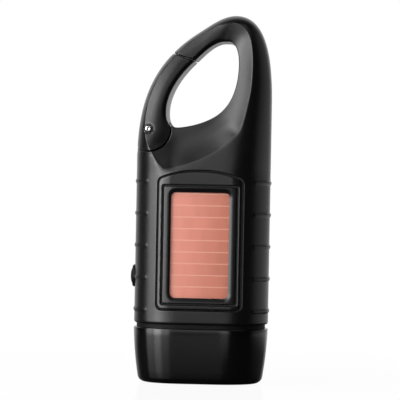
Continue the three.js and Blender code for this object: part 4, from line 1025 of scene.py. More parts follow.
# Places across a strip, its two ends first, and how strong the light line is there
LINE_STOPS = ((0, 1), (1, 1), (0.035, 0.75), (0.075, 0), (0.925, 0), (0.965, 0.75))
PATCHES_PER_METRE = 160
PATCH_SCALE = 1.7
PATCH_RANGE = (0.3, 0.7)
PATCH_SHADES = (0.94, 1.06)
CELL_ROUGHNESS = (0.42, 0.52)


def solar_finish():
    """Copper-coloured cell: nine strips with thin light lines, and painted light that makes it lighter toward
    the left.
    """
    material, tree, shader, place = new_finish("solar_finish")
    set_shader(shader, Specular_IOR_Level=0.35)
    low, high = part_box("solar_cell")
    split = node(tree, "SeparateXYZ", {"Vector": place})
    across = mapped(tree, split.outputs["X"], (low.x, high.x))
    # Painted light: the colour runs from the lit left end to the shaded right end
    painted_light_tint = colour_ramp(tree, across, (0, CELL_LIT_LEFT), (1, CELL_SHADED_RIGHT))
    rise = maths(tree, "SUBTRACT", split.outputs["Z"], STRIP_LOW * MM)
    strip = maths(tree, "DIVIDE", rise, STRIP_PITCH * MM)
    line = colour_ramp(tree, maths(tree, "FRACT", strip), *[(at, (level,) * 3) for at, level in LINE_STOPS])
    across_patches = maths(tree, "MULTIPLY", split.outputs["X"], PATCHES_PER_METRE)
    blocks = node(tree, "CombineXYZ", {"X": across_patches, "Z": maths(tree, "FLOOR", strip)})
    patches = node(tree, "TexNoise", {"Vector": blocks.outputs["Vector"], "Scale": PATCH_SCALE, "Detail": 2})
    patch = patches.outputs["Fac"]
    shades = mapped(tree, patch, PATCH_RANGE, PATCH_SHADES)
    shaded = vector_maths(tree, "SCALE", {0: painted_light_tint, "Scale": shades}, "Vector")
    lit = mixed(tree, maths(tree, "MULTIPLY", line, LINE_STRENGTH), shaded, (*CELL_LINE, 1), colours=True)
    join(tree, shader, Base_Color=lit, Roughness=mapped(tree, patch, target=CELL_ROUGHNESS))
    return material


CLEAR = {"roughness": 0.06, "grain": 0.02, "wear": 0.3, "scale": 3000}
FINISHES = {
    "body_black": moulded("shell_finish", (0.0013, 0.0013, 0.0014), 0.32),
    "head_gloss": moulded("head_finish", (0.0006, 0.0006, 0.0007), 0.18, grain=0.06, wear=0.1, specular=0.4),
    "bezel_black": moulded("bezel_finish", (0.0013, 0.0013, 0.0017), 0.28, grain=0.25),
    "rubber_black": moulded("rubber_finish", (0.002,) * 3, 0.6, grain=0.6, scale=5000, specular=0.18),
    "solar_copper": solar_finish(),
    "clear": moulded("window_finish", (0.05, 0.05, 0.05), alpha=0.08, **CLEAR),
    "led_clear": moulded("led_finish", (0.85, 0.86, 0.8), alpha=0.45, **CLEAR),
    "chrome": moulded("chrome_finish", (0.70, 0.71, 0.72), 0.2, grain=0.02, wear=0.2, metallic=1.0),
    "steel": moulded("steel_finish", (0.52, 0.53, 0.54), 0.26, grain=0.15, wear=0.2, metallic=1.0),
    "brass": moulded("brass_finish", (0.56, 0.38, 0.13), 0.32, grain=0.15, wear=0.2, metallic=1.0),
    "gear_white": moulded("gear_finish", (0.72, 0.71, 0.67), 0.5),
    "copper_wire": moulded("wire_finish", (0.45, 0.14, 0.05), 0.36, metallic=0.9),
    "magnet_grey": moulded("magnet_finish", (0.12, 0.125, 0.13), 0.45, metallic=0.6),
    "board_green": moulded("board_finish", (0.012, 0.10, 0.035), 0.55),
}


# Shapes of the smaller pieces

def solid_over(loop, holes, outer, inner, side, lines=(), rows=(), fill=PIECE_FILL):
    """A closed solid over a loop with holes, each surface a depth or a function that finds depths."""
    def keep(flat):
        kept = inside(flat, loop)
        for hole in holes:
            kept &= ~inside(flat, hole)
        return kept

    every = [(loop, True), *[(hole, True) for hole in holes], *lines]
    taken = np.vstack([line for line, _ in every] + list(rows))
    free = away_from(grid(loop.min(0), loop.max(0), fill), taken, fill / 2)
    free = np.vstack([free[inside(free, loop)], *rows])
    flat, faces = flat_mesh(every, free, keep)
    top, low = (found(flat) if callable(found) else np.full(len(flat), found) for found in (outer, inner))
    places = np.column_stack([flat[:, 0], np.maximum(top, low), flat[:, 1]])
    return between(flat, faces, places, low, side)


def soft_rows(loop, radius, inward=1):
    """Rows inside a soft edge, which lies to the loop's left, or to its right with inward at -1."""
    return [beside(loop, inward * radius * share, True) for share in EDGE_SHARES[1:]]


def loft(rings, closed=False):
    """A skin through rings of as many places each, closed on itself or capped at its ends."""
    count = len(rings[0])
    pairs = list(zip(range(len(rings)), range(1, len(rings))))
    if closed:
        pairs.append((len(rings) - 1, 0))
    faces = [(a * count + i, a * count + (i + 1) % count, b * count + (i + 1) % count, b * count + i)
             for a, b in pairs for i in range(count)]
    if not closed:
        faces += [tuple(range(count)), tuple(range((len(rings) - 1) * count, len(rings) * count))]
    return np.vstack(rings), faces


def turned(profile, centre, axis, count=48, closed=False):
    """A turned piece: pairs of radius and place along an axis, 0 for X, 1 for Y and 2 for Z."""
    across = [k for k in range(3) if k != axis]
    rings = []
    for radius, along in profile:
        ring = np.full((count, 3), along, float)
        ring[:, across] = circle([centre[k] for k in across], radius, count)
        rings.append(ring)
    return loft(rings, closed)


def profile_from(low, high, from_low, from_high):
    """A profile whose places are given from its low end, and then from its high end."""
    return ([(radius, low + along) for radius, along in from_low]
            + [(radius, high + along) for radius, along in from_high])


def rounding(radius_from, radius_to, along_from, along_to, count=6):
    """A quarter turn of a profile from one radius and place to another, flat along at its start."""
    turn = np.linspace(0, np.pi / 2, count)
    return [(radius_from + (radius_to - radius_from) * math.sin(t),
             along_from + (along_to - along_from) * (1 - math.cos(t))) for t in turn]


# The gate

SLOT_TOP = PIVOT[1] + GATE_SWING + GATE_GAP
SLOT_REACH = LUG_RADIUS + LUG_GAP


def in_slot(flat, grow=0.0):
    """Which places of the gate have the slot for the hinge lug under them."""
    near = distance_from(PIVOT, flat) < SLOT_REACH + grow
    return near | ((flat[:, 1] < SLOT_TOP + grow) & (flat[:, 0] < PIVOT[0] + GATE_END + FIT + grow))


def gate_half(side):
    """Front or back half of the gate, with its half of the slot."""
    hole, seat = circle(PIVOT, PIN_HOLE, 32), circle(PIVOT, PIN_HEAD + FIT, 40)
    cheek = beside(OUTLINE, CHEEK)
    cheek = cheek[(cheek[:, 0] < 0) & (cheek[:, 1] < SLOT_TOP + SLOT_REACH)]
    cheek = cheek[cheek[:, 1] > PIVOT[1] - 2 * SLOT_REACH]
    slot = [circle(PIVOT, SLOT_REACH + offset, 72) for offset in (0, CUT_OFFSETS[0])]
    lines = [(OUTLINE, True), (HOLE, True), (GATE, True), (hole, True), (cheek, False),
             *[(loop, True) for loop in slot]]
    if side == FRONT:
        lines += [(seat, True), (beside(seat, CUT_OFFSETS[0], True), True)]
    extra = [np.vstack([beside(GATE, GAP_EDGE * share, True) for share in EDGE_SHARES]),
             np.vstack(soft_rows(hole, GAP_EDGE, -1))]

    def keep(flat):
        kept = inside(flat, OUTLINE) & ~inside(flat, HOLE) & inside(flat, GATE) & ~inside(flat, hole)
        return kept & ~(in_slot(flat) & (flank_distance(flat) < CHEEK))

    flat, faces = flat_mesh(lines, shell_places(extra), keep)
    outer, _ = torch_surface(flat, GATE)
    if side == FRONT:
        outer[:, 1] = pit(outer[:, 1], distance_from(PIVOT, flat) - PIN_HEAD - FIT, PIN_HIGH)
    inner = np.where(in_slot(flat, SLOT_GROW), np.minimum(LUG_HALF + GATE_GAP, outer[:, 1] - SLOT_SKIN), 0)
    return between(flat, faces, outer, inner, side)


def middle_face(face):
    """A face in the plane between the shells."""
    return all(abs(v.co.y) < MERGE / 2 for v in face.verts)


GATE_PIN = (
    [(0, 0.14), (0.2, 0.13), (0.36, 0.07), (0.48, 0.01), (0.58, 0), (0.76, 0.04), (0.94, 0.16),
     (1.05, 0.33), (1.1, 0.5), (1.1, 0.9), (PIN_RADIUS, 0.9)],
    [(PIN_RADIUS, -0.2), (0.8, 0), (0, 0)],
)


def make_gate_pin():
    """The hinge pin, with a domed and dimpled head in front."""
    return turned(profile_from(PIN_LOW, PIN_HIGH, *GATE_PIN), (PIVOT[0], 0, PIVOT[1]), 1, 40)


# The head and its lamps

HEAD_TOP = 17.2
HEAD_TAPER = 1.8
HEAD_DEPTH_TAPER = 1.2
HEAD_SLANT = 0.28
HEAD_RIM = 3.1
HEAD_POCKET = corner("led_board", 1)[2]
RIM_FILLET = 1.8
TOP_BEVEL = 0.3
CABLE_HOLE = 5
COLLAR_INSET = WALL + 2 * FIT
COLLAR_WALL = 1.2
SEAL_INSET = 0.9
LENS_EDGE = 0.15
LED_PLACES = [middle(f"led_{number}")[:2] for number in (1, 2, 3)]
LED_RADIUS = 2.5
LED_FLANGE = 0.4
LED_FOOT = 0.8
CUP_NECK = LED_RADIUS + LED_FLANGE + FIT
CUP_MOUTH = 0.51 * (HALF_DEPTH - HEAD_DEPTH_TAPER - HEAD_RIM)
CUP_RUN = CUP_MOUTH - CUP_NECK
CUP_SHARE = 0.8
CUP_ROW_SHARES = (0.12, 0.25, 0.4, 0.55, 0.7, 0.83, 0.93, 0.99, 1.02)


def section(inset, half_width=HALF_WIDTH, half_depth=HALF_DEPTH, steps=32):
    """The body's cross-section in X and Y, less an inset, counter-clockwise."""
    flat = max(0, HALF_WIDTH - FLANK_ROLL - inset)
    turn = np.linspace(0, np.pi / 2, steps + 1)
    across = flat + (half_width - inset - flat) * np.cos(turn) ** (2 / ROLL_POWER)
    right = np.column_stack([across, (half_depth - inset) * np.sin(turn) ** (2 / ROLL_POWER)])
    half = np.vstack([right, (right[::-1] * [-1, 1])[:-1]])
    return np.vstack([half, -half])


def head_section(inset, z):
    """The head's cross-section, which narrows toward its foot."""
    share = min(1, max(0, (HEAD_TOP - z) / HEAD_TOP))
    fall = HEAD_SLANT * share + (1 - HEAD_SLANT) * share ** 2
    return section(inset, HALF_WIDTH - HEAD_TAPER * fall, HALF_DEPTH - HEAD_DEPTH_TAPER * fall)


def at_level(loop, z, low=-math.inf, high=math.inf):
    """A loop in X and Y at a height, clipped in Y."""
    return np.column_stack([loop[:, 0], np.clip(loop[:, 1], low, high), np.full(len(loop), z)])


def make_head():
    """The lamp head: a cup with a thick rim, a floor with a cable hole, and a collar on top."""
    collar_top = corner("head_shell", 1)[2]
    loop = section(0)
    angle = np.arctan2(loop[:, 1], loop[:, 0])
    cable = CABLE_HOLE * np.column_stack([np.cos(angle), np.sin(angle)])
    rings = [at_level(cable, HEAD_POCKET), at_level(head_section(HEAD_RIM, HEAD_POCKET), HEAD_POCKET),
             at_level(head_section(HEAD_RIM, 0), FIT), at_level(head_section(HEAD_RIM - FIT, 0), 0)]
    outside = rounding(RIM_FILLET, 0, 0, RIM_FILLET, 9)
    outside += [(0, z) for z in np.linspace(RIM_FILLET, HEAD_TOP - TOP_BEVEL, 8)[1:]]
    outside += [(TOP_BEVEL * (1 - math.cos(t)), HEAD_TOP - TOP_BEVEL * (1 - math.sin(t)))
                for t in np.linspace(0, np.pi / 2, 9)[2::3]]
    rings += [at_level(head_section(inset, z), z) for inset, z in outside]
    front, back = 2 * FIT - CAVITY_FRONT, CAVITY_BACK - 2 * FIT
    collar = [(0, HEAD_TOP), (0, collar_top - FIT), (FIT, collar_top), (COLLAR_WALL, collar_top),
              (COLLAR_WALL, HEAD_TOP)]
    rings += [at_level(section(COLLAR_INSET + room), z, front + room, back - room) for room, z in collar]
    return loft([*rings, at_level(cable, HEAD_TOP)], closed=True)


def make_seal():
    """The rubber seal between the head and the body."""
    back = corner("head_seal", 1)[1]
    rings = [at_level(section(SEAL_INSET), z, high=back) for z in (HEAD_TOP, BODY_BOTTOM)]
    rings += [at_level(section(WALL), z, -CAVITY_FRONT, CAVITY_BACK) for z in (BODY_BOTTOM, HEAD_TOP)]
    return loft(rings, closed=True)


def make_lens():
    """The lens, which fills the head's pocket, with soft edges."""
    low, high = ends("lens", 2)
    rows = [(LENS_EDGE, low, low), (0, low, low + LENS_EDGE),
            (0, high, high - LENS_EDGE), (LENS_EDGE, high, high)]
    return loft([at_level(head_section(HEAD_RIM + FIT + edge, z), at) for edge, z, at in rows])


def make_reflector():
    """A bright tray with a bowl round each lamp, laid down from X and Z to X and Y."""
    low, high = ends("reflector", 2)
    loop = head_section(HEAD_RIM + FIT, (low + high) / 2)
    necks = [circle(place, CUP_NECK, 48) for place in LED_PLACES]
    rows = [circle(place, CUP_NECK + CUP_RUN * share, 72) for place in LED_PLACES for share in CUP_ROW_SHARES]

    def floor(flat):
        nearest = np.min([distance_from(place, flat) for place in LED_PLACES], axis=0)
        return low + (high - low) * CUP_SHARE * (1 - np.clip((nearest - CUP_NECK) / CUP_RUN, 0, 1) ** 2)

    places, faces = solid_over(loop, necks, high, floor, 1, rows=[row[inside(row, loop)] for row in rows])
    return places[:, [0, 2, 1]], faces


def make_led(number):
    """A round lamp that looks down, its flange at its top."""
    low, high = ends(f"led_{number}", 2)
    brim = LED_RADIUS + LED_FLANGE
    rim = [(LED_RADIUS, -LED_FOOT), (brim, -LED_FOOT), (brim, 0), (0, 0)]
    profile = profile_from(0, high, rounding(0, LED_RADIUS, low, low + LED_RADIUS, 10), rim)
    return turned(profile, (*LED_PLACES[number - 1], 0), 2)


# The solar panel's frames

FRAME_TRIM = np.array([0, 0.55])
FRAME_GROOVE = 0.45
FRAME_CORNER = 0.6
FRAME_EDGE = 0.3
FRAME_FRONT = -FRAME_LOW[1]
BEZEL_EDGE = 0.45
WINDOW_MARGIN = 2.35
WINDOW_CORNER = 1.5
WINDOW_SLOPE = 0.7
WINDOW_FRONT = -corner("solar_window", 0)[1]
SEAT_OFFSETS = (0.04, 0.06)
MOUTH_WIDTH = 1.3
MOUTH_LIP = 0.1
MOUTH_GROOVE = 0.06
MOUTH_GROOVE_SHARE = 0.12
MOUTH_ROW_SHARES = (0.4, 0.8, 0.9, 1, 1.1, 1.2)
PLATE_GAP = 0.06
FRAME_START, FRAME_STOP = FRAME_LOW[FLAT] + FRAME_TRIM, FRAME_HIGH[FLAT] - FRAME_TRIM
FRAME_LOOP = rounded_rect(FRAME_START, FRAME_STOP, FRAME_CORNER)
GROOVE_LOOP = rounded_rect(FRAME_START - FRAME_GROOVE, FRAME_STOP + FRAME_GROOVE, FRAME_CORNER)
WINDOW_LOOP = rounded_rect(FRAME_LOW[FLAT] + WINDOW_MARGIN, FRAME_HIGH[FLAT] - WINDOW_MARGIN, WINDOW_CORNER)


def make_panel_plate(cad, radius):
    """A flat plate with round corners behind the frame."""
    low, high = corner(cad, 0), corner(cad, 1)
    loop = rounded_rect(low[FLAT], high[FLAT], radius)
    return solid_over(loop, [], -low[1], PLATE_GAP - high[1], FRONT, fill=PLATE_FILL)


def make_bezel():
    """The outer frame: it follows the body's roll and stands a little proud of it."""
    loop = panel_loop(0)

    def outer(flat):
        depth = np.minimum(HALF_DEPTH, base_depth(flat, flank_distance(flat)) + BEZEL_EDGE / 2)
        depth = depth - edge_drop(distance_to(flat, loop, True), BEZEL_EDGE)
        return depth - edge_drop(distance_to(flat, GROOVE_LOOP, True), FRAME_EDGE)

    rows = soft_rows(loop, BEZEL_EDGE) + soft_rows(GROOVE_LOOP, FRAME_EDGE, -1)
    return solid_over(loop, [GROOVE_LOOP], outer, POCKET_DEPTH, FRONT, rows=rows, fill=FRAME_FILL)


def make_frame():
    """The inner frame, whose mouth slopes down to the window."""
    def outer(flat):
        rise = np.clip(distance_to(flat, WINDOW_LOOP, True) / MOUTH_WIDTH, 0, 1)
        lip = WINDOW_FRONT + MOUTH_LIP
        front = FRAME_FRONT - HALF_DEPTH + base_depth(flat, flank_distance(flat))
        depth = lip + (front - lip) * rise - edge_drop(distance_to(flat, FRAME_LOOP, True), FRAME_EDGE)
        return depth - MOUTH_GROOVE * np.exp(-((rise - 1) / MOUTH_GROOVE_SHARE) ** 2)

    def inner(flat):
        seated = distance_to(flat, WINDOW_LOOP, True) < WINDOW_SLOPE + np.mean(SEAT_OFFSETS)
        return np.where(seated, WINDOW_FRONT, POCKET_DEPTH)

    seat = [(beside(WINDOW_LOOP, -WINDOW_SLOPE - offset, True), True) for offset in SEAT_OFFSETS]
    rows = [beside(WINDOW_LOOP, -MOUTH_WIDTH * share, True) for share in MOUTH_ROW_SHARES]
    rows = soft_rows(FRAME_LOOP, FRAME_EDGE) + rows
    return solid_over(FRAME_LOOP, [WINDOW_LOOP], outer, inner, FRONT, lines=seat, rows=rows, fill=FRAME_FILL)


# The side button

BUTTON_SKIRT = 3.4 + FIT
BUTTON_FLANGE = 4.45
BUTTON_FLANGE_END = BUTTON_SKIRT + 0.9
BUTTON_STEM = 1.2
BUTTON = (
    [(0, 0), (0.8, 0.03), (1.5, 0.12), (2.05, 0.28), (2.4, 0.48), (2.55, 0.7), (2.58, 0.95), (2.68, 1),
     (2.78, 0.95), (2.84, 0.72), (2.98, 0.6), (3.18, 0.62), (3.38, 0.8), (3.5, 1.05), (BUTTON_RADIUS, 1.35),
     (BUTTON_RADIUS, BUTTON_SKIRT), (BUTTON_FLANGE, BUTTON_SKIRT), (BUTTON_FLANGE, BUTTON_FLANGE_END),
     (BUTTON_STEM, BUTTON_FLANGE_END)],
    [(BUTTON_STEM, 0), (0, 0)],
)


def make_button():
    """A round button in two steps: a ring with a domed cap within."""
    return turned(profile_from(*ends("switch_button", 0), *BUTTON), (0, 0, BUTTON_Z), 0, 64)


# The crank and the screws

ARM_HUB_HALF = 7.6
ARM_TIP_HALF = 6.3
ARM_CORNER = 2.4
ARM_EDGE = 0.9
ARM_FOOT_EDGE = 0.35
ARM_MIDDLE = (ARM_LOW[1] + ARM_HIGH[1]) / 2
ARM_SLOT_HALF = 3.5
ARM_SLOT_FOOT = HUB_Z + 4.6
ARM_SLOT_CORNER = 0.6
CRANK_BORE = 2.8
CRANK_SCREW = 3.7
CRANK_SCREW_EDGE = 0.9
CRANK_SEAT, CRANK_SCREW_TOP = ends("crank_screw", 1)
SCREW_EDGE = 0.5
SCREW_SLOT_REACH = 1.15
SCREW_SLOT_SHARE = 0.09
SCREW_SLOT_DEPTH_SHARE = 0.55
SHANK_TOP = SCREW_SEAT + 0.05
SHANK = ([(0, 0), (0.6, 0), (0.9, 0.4)], [(0.9, 0), (0, 0)])
BUSH = (
    [(CRANK_BORE, 0), (4, 0)],
    [(4, -0.6), (BUSH_FLANGE, -0.6), (BUSH_FLANGE, -0.12), (BUSH_FLANGE - 0.12, 0), (CRANK_BORE + 0.15, 0),
     (CRANK_BORE, -0.15)],
)
KNOB_RADIUS = 3
KNOB_Z = HUB_Z + ARM_SWEEP - 5
KNOB_TOP = KNOB_Z - 1
ARM_SLOT_TOP = KNOB_Z + KNOB_RADIUS + FIT
KNOB_NECK = KNOB_RADIUS + FIT - 1
SPINDLE_RADIUS = 1.3
SPINDLE = (
    [(0, 0), (2.1, 0), (2.3, 0.2), (2.3, 1), (2.1, 1.2), (SPINDLE_RADIUS, 1.2)],
    [(SPINDLE_RADIUS, -KNOB_NECK), (2.7, -KNOB_NECK), (2.7, 0), (0, 0)],
)
BARREL = (
    [(0, 0), (KNOB_RADIUS - 0.3, 0), (KNOB_RADIUS, 0.3)],
    [(KNOB_RADIUS, -0.3), (KNOB_RADIUS - 0.3, 0), (0, 0)],
)
KNOB_PIN = ([(0, 0), (0.7, 0), (0.9, 0.2)], [(0.9, -0.2), (0.7, 0), (0, 0)])
GRIP_EDGE = 0.5
GRIP_GROOVE = [(0, -0.55), (0.06, -0.35), (0.2, -0.15), (0.24, 0), (0.2, 0.15), (0.06, 0.35), (0, 0.55)]


def make_arm():
    """The crank's arm: a round hub end and a broad crown, with the grip's slot and the screw's seat."""
    shoulder = HUB_Z + math.sqrt(ARM_SWEEP ** 2 - ARM_TIP_HALF ** 2)
    turn = math.acos((ARM_TIP_HALF - ARM_CORNER) / ARM_SWEEP)
    crown = arc(HUB, ARM_SWEEP, turn, math.pi - turn, 30)
    start = np.array([ARM_TIP_HALF, shoulder - ARM_CORNER])
    right = bend(start, (ARM_TIP_HALF, shoulder), crown[0], 10)
    left = [right[::-1] * [-1, 1], [start * [-1, 1]]]
    loop = np.vstack([arc(HUB, ARM_HUB_HALF, math.pi, 2 * math.pi, 40), [start], right, crown[1:-1], *left])
    loop = respaced(loop, LOOP_STEP, True)
    slot = rounded_rect((-ARM_SLOT_HALF, ARM_SLOT_FOOT), (ARM_SLOT_HALF, ARM_SLOT_TOP), ARM_SLOT_CORNER)
    sink = circle(HUB, CRANK_SCREW + FIT)

    def outer(flat):
        depth = ARM_HIGH[1] - edge_drop(distance_to(flat, loop, True), ARM_EDGE)
        depth = depth - edge_drop(distance_to(flat, slot, True), FRAME_EDGE)
        return pit(depth, distance_from(HUB, flat) - CRANK_SCREW - FIT, CRANK_SEAT)

    def inner(flat):
        return ARM_LOW[1] + edge_drop(distance_to(flat, loop, True), ARM_FOOT_EDGE)

    rows = soft_rows(loop, ARM_EDGE) + soft_rows(slot, FRAME_EDGE, -1) + soft_rows(sink, GAP_EDGE, -1)
    holes = [slot, circle(HUB, CRANK_BORE, 40)]
    return solid_over(loop, holes, outer, inner, BACK, lines=cut_lines(sink), rows=rows)


def slotted_head(centre, radius, seat, top, softness, slots, reach):
    """A screw head with slots, each a direction, on the back of the torch."""
    half = radius * SCREW_SLOT_SHARE
    sunk = top - (top - seat) * SCREW_SLOT_DEPTH_SHARE
    turns = [np.array([[math.cos(t), math.sin(t)], [-math.sin(t), math.cos(t)]]) for t in slots]
    lines = []
    for turn in turns:
        for side in (half, half + CUT_OFFSETS[0]):
            slot = np.array([(-reach, -side), (reach, -side), (reach, side), (-reach, side)])
            lines.append((respaced(centre + slot @ turn, SLOT_STEP, True), True))

    def outer(flat):
        depth = top - edge_drop(radius - distance_from(centre, flat), softness)
        for turn in turns:
            along, across = np.abs(turn @ (flat - centre).T)
            cut = (along <= reach + SLACK) & (across <= half + SLACK)
            depth = np.where(cut, np.minimum(depth, sunk), depth)
        return depth

    rows = [circle(centre, radius - softness * share) for share in EDGE_SHARES[1:]]
    return solid_over(circle(centre, radius), [], outer, seat, BACK, lines=lines, rows=rows, fill=SCREW_FILL)


def make_crank_screw():
    return slotted_head(HUB, CRANK_SCREW, CRANK_SEAT, CRANK_SCREW_TOP, CRANK_SCREW_EDGE, [0], CRANK_SCREW + 1)


def make_case_screw(number):
    """A screw with a cross slot. Its shank stops just inside the head."""
    low, high = ends(f"case_screw_{number}", 1)
    place, cross = SCREW_PLACES[number - 1], (math.pi / 4, -math.pi / 4)
    head = slotted_head(place, SCREW_HEAD, SCREW_SEAT, high, SCREW_EDGE, cross, SCREW_SLOT_REACH)
    return head, turned(profile_from(low, SHANK_TOP, *SHANK), (place[0], 0, place[1]), 1, 24)


def make_bush():
    return turned(profile_from(*ends("crank_bush", 1), *BUSH), (0, 0, HUB_Z), 1, 64, closed=True)


def make_sleeve():
    """The knob's turning sleeve, with three shallow grip grooves."""
    low, high = ends("knob_sleeve", 2)
    bore, shoulder = SPINDLE_RADIUS + FIT, KNOB_RADIUS - GRIP_EDGE
    profile = [(bore, low), *rounding(shoulder, KNOB_RADIUS, low, low + GRIP_EDGE)]
    for level in np.linspace(low, high, 5)[1:-1]:
        profile += [(KNOB_RADIUS - sunk, level + offset) for sunk, offset in GRIP_GROOVE]
    profile += [*reversed(rounding(shoulder, KNOB_RADIUS, high, high - GRIP_EDGE)), (bore, high)]
    return turned(profile, (0, ARM_MIDDLE, 0), 2, 56, closed=True)


def make_stem():
    """The knob's stem: a barrel on the cross pin, and the spindle below it."""
    barrel = turned(profile_from(*ends("knob_stem", 0), *BARREL), (0, ARM_MIDDLE, KNOB_Z), 0, 56)
    low = corner("knob_stem", 0)[2]
    return barrel, turned(profile_from(low, KNOB_TOP, *SPINDLE), (0, ARM_MIDDLE, 0), 2, 40)


def make_knob_pin():
    return turned(profile_from(*ends("knob_pin", 0), *KNOB_PIN), (0, ARM_MIDDLE, KNOB_Z), 0, 32)


# Every piece on its body

SLOTS = {item["node"]: item["material_slot"] for item in frame["record"]["subparts"]}


def dress(cad, *parts, drop=None):
    """A smooth form in place of a CAD node, on that node's body and in its finish."""
    mesh = smooth_mesh(f"{cad}_form", parts, drop)
    mesh.materials.append(FINISHES[SLOTS[cad]])
    piece = placed(mesh.name, mesh)
    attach(piece, body_of(frame["nodes"][cad])[0])
    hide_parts(cad)


dress("front_shell", *make_shell(FRONT))
dress("back_shell", *make_shell(BACK))
dress("gate", gate_half(FRONT), gate_half(BACK), drop=middle_face)
dress("gate_pin", make_gate_pin())
dress("head_shell", make_head())
dress("head_seal", make_seal())
dress("lens", make_lens())
dress("reflector", make_reflector())
dress("solar_bezel", make_bezel())
dress("solar_frame", make_frame())
dress("solar_window", make_panel_plate("solar_window", WINDOW_CORNER))
dress("solar_cell", make_panel_plate("solar_cell", FRAME_EDGE))
dress("switch_button", make_button())
dress("crank_arm", make_arm())
dress("crank_screw", make_crank_screw())
dress("crank_bush", make_bush())
dress("knob_sleeve", make_sleeve())
dress("knob_stem", *make_stem())
dress("knob_pin", make_knob_pin())
for number in (1, 2, 3):
    dress(f"led_{number}", make_led(number))
for number in (1, 2, 3, 4):
    dress(f"case_screw_{number}", *make_case_screw(number))

for cad, shape in frame["nodes"].items():
    shape.data.materials.clear()
    shape.data.materials.append(FINISHES[SLOTS[cad]])


# Camera, lights and floor

CAMERA_AZIMUTH = math.radians(3.6)
CAMERA_ROLL = math.radians(1.07)
CAMERA_DISTANCE = 0.75
CAMERA_CLIP = (0.05, 10)
FRAME_WIDTH = 0.126
AIM_ACROSS, AIM_UP = -0.001, 0.05716


def make_camera():
    data = bpy.data.cameras.new("camera")
    data.lens = data.sensor_width * CAMERA_DISTANCE / FRAME_WIDTH
    data.clip_start, data.clip_end = CAMERA_CLIP
    camera = placed("camera", data)
    across = Vector((math.cos(CAMERA_AZIMUTH), math.sin(CAMERA_AZIMUTH), 0))
    away = Vector((math.sin(CAMERA_AZIMUTH), -math.cos(CAMERA_AZIMUTH), 0))
    aim = across * AIM_ACROSS + Vector((0, 0, AIM_UP))
    place = Matrix.Translation(aim + away * CAMERA_DISTANCE)
    facing = (-away).to_track_quat("-Z", "Y").to_matrix().to_4x4()
    camera.matrix_world = place @ facing @ Matrix.Rotation(CAMERA_ROLL, 4, "Z")
    bpy.context.scene.camera = camera


LAMP_AIM = Vector((0, 0, 0.06))
# Each lamp's azimuth from the front toward the right, elevation, distance, width, height and power
LAMPS = {
    "lamp_left": (-69, 18, 0.6, 0.26, 0.62, 2.5),
    "lamp_middle_left": (-46, 6, 0.6, 0.2, 0.4, 2.4),
    "lamp_front_left": (-27, 6, 0.6, 0.2, 0.4, 0.85),
    "lamp_front": (-6, 9, 0.9, 0.3, 0.3, 0.4),
    "lamp_strip": (8, 1.5, 0.9, 0.2, 0.12, 0.19),
    "lamp_above": (42, 58, 0.8, 0.6, 0.5, 0.6),
    "lamp_above_left": (-70, 45, 0.8, 0.6, 0.32, 1.57),
    "lamp_fill": (5, 20, 0.9, 0.5, 0.5, 1.4),
}
UNMIRRORED_LAMP = "lamp_fill"


def make_lamp(name, azimuth, elevation, distance, width, height, power):
    data = bpy.data.lights.new(name, "AREA")
    data.shape = "RECTANGLE"
    data.size, data.size_y, data.energy = width, height, power
    turn, rise = math.radians(azimuth), math.radians(elevation)
    away = Vector((math.cos(rise) * math.sin(turn), -math.cos(rise) * math.cos(turn), math.sin(rise)))
    lamp = placed(name, data)
    lamp.location = LAMP_AIM + away * distance
    lamp.rotation_euler = (-away).to_track_quat("-Z", "Y").to_euler()
    lamp.visible_glossy = name != UNMIRRORED_LAMP


FLOOR_REACH = 3
FLOOR_LEVEL = -0.0002
FLOOR_SHADE = 0.75
MIRRORED_SHADE = 0.03
SHADOW_REACH = (0.05, 0.22)
SEEN_WHITE = (0.93, 1.0)
LIGHT_BEHIND = (0.34, 0.94, 0)
BEHIND_REACH = (-0.05, 0.6)
MIRROR_REACH = (0.08, 0.22)
MIRRORED_WHITE = 0.6


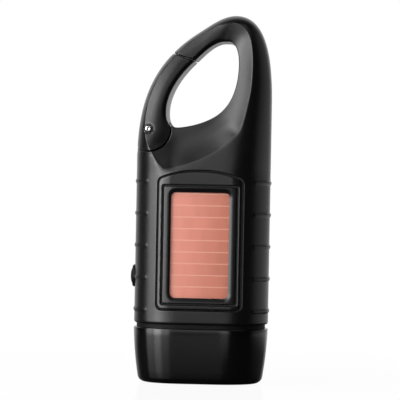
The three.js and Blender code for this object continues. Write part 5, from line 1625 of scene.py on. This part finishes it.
def floor_finish():
    """White to the camera but for the torch's soft shadow, and dim in reflections but for its far side."""
    material, tree, shader, place = new_finish("floor")
    set_shader(shader, Roughness=0.9, Coat_Weight=1, Coat_Roughness=0.08, Coat_IOR=1.15)
    path = node(tree, "LightPath").outputs
    join(tree, shader, Base_Color=mapped(tree, path["Is Glossy Ray"], target=(FLOOR_SHADE, MIRRORED_SHADE)))
    far = vector_maths(tree, "LENGTH", {0: place}, "Value")
    seen = maths(tree, "MAXIMUM", path["Is Camera Ray"], path["Is Transmission Ray"])
    white = maths(tree, "MULTIPLY", seen, mapped(tree, far, SHADOW_REACH, SEEN_WHITE, soft=True))
    heading = vector_maths(tree, "NORMALIZE", {0: place}, "Vector")
    behind = vector_maths(tree, "DOT_PRODUCT", {0: heading, 1: LIGHT_BEHIND}, "Value")
    mirrored = maths(tree, "MULTIPLY", mapped(tree, behind, BEHIND_REACH, (0, MIRRORED_WHITE), soft=True),
                     mapped(tree, far, MIRROR_REACH, soft=True))
    share = maths(tree, "MULTIPLY_ADD", path["Is Glossy Ray"], mirrored, white)
    glow = node(tree, "Emission", {"Color": (1, 1, 1, 1), "Strength": 1})
    both = node(tree, "MixShader", {0: share, 1: shader.outputs[0], 2: glow.outputs[0]})
    tree.links.new(both.outputs[0], tree.nodes["Material Output"].inputs["Surface"])
    return material


def make_floor():
    mesh = bpy.data.meshes.new("floor")
    sides = (-FLOOR_REACH, FLOOR_REACH)
    corners = [(x, y, FLOOR_LEVEL) for y in sides for x in sides]
    mesh.from_pydata(corners, [], [(0, 1, 3, 2)])
    mesh.materials.append(floor_finish())
    placed("floor", mesh)


# Soft glows that reflections show: a direction, its reach as cosines, and the strengths there
GLOWS = [
    ((-0.15, 0.93, 0.3), (0.68, 0.95), (0.03, 1.0)),
    ((0.9, 0.43, 0.05), (0.7, 0.98), (0, 0.3)),
    ((-0.415, -0.718, 0.559), (0.927, 0.9945), (0, 1.7)),
]
DIM = 0.2


def make_world():
    """White behind the torch as the camera sees it, glows as reflections do, and dim for the rest."""
    world = bpy.data.worlds.new("world")
    bpy.context.scene.world = world
    world.use_nodes = True
    tree = world.node_tree
    place = node(tree, "TexCoord").outputs["Generated"]
    brightest = 0
    for direction, reach, strengths in GLOWS:
        facing = vector_maths(tree, "DOT_PRODUCT", {0: place, 1: Vector(direction).normalized()}, "Value")
        brightest = maths(tree, "MAXIMUM", brightest, mapped(tree, facing, reach, strengths, soft=True))
    path = node(tree, "LightPath").outputs
    seen = maths(tree, "MAXIMUM", path["Is Camera Ray"], path["Is Transmission Ray"])
    strength = mixed(tree, seen, mixed(tree, path["Is Glossy Ray"], DIM, brightest), 1)
    background = tree.nodes["Background"]
    background.inputs["Color"].default_value = (1, 1, 1, 1)
    tree.links.new(strength, background.inputs["Strength"])


make_camera()
make_floor()
make_world()
for name, settings in LAMPS.items():
    make_lamp(name, *settings)
bpy.context.scene.view_settings.view_transform = "Standard"
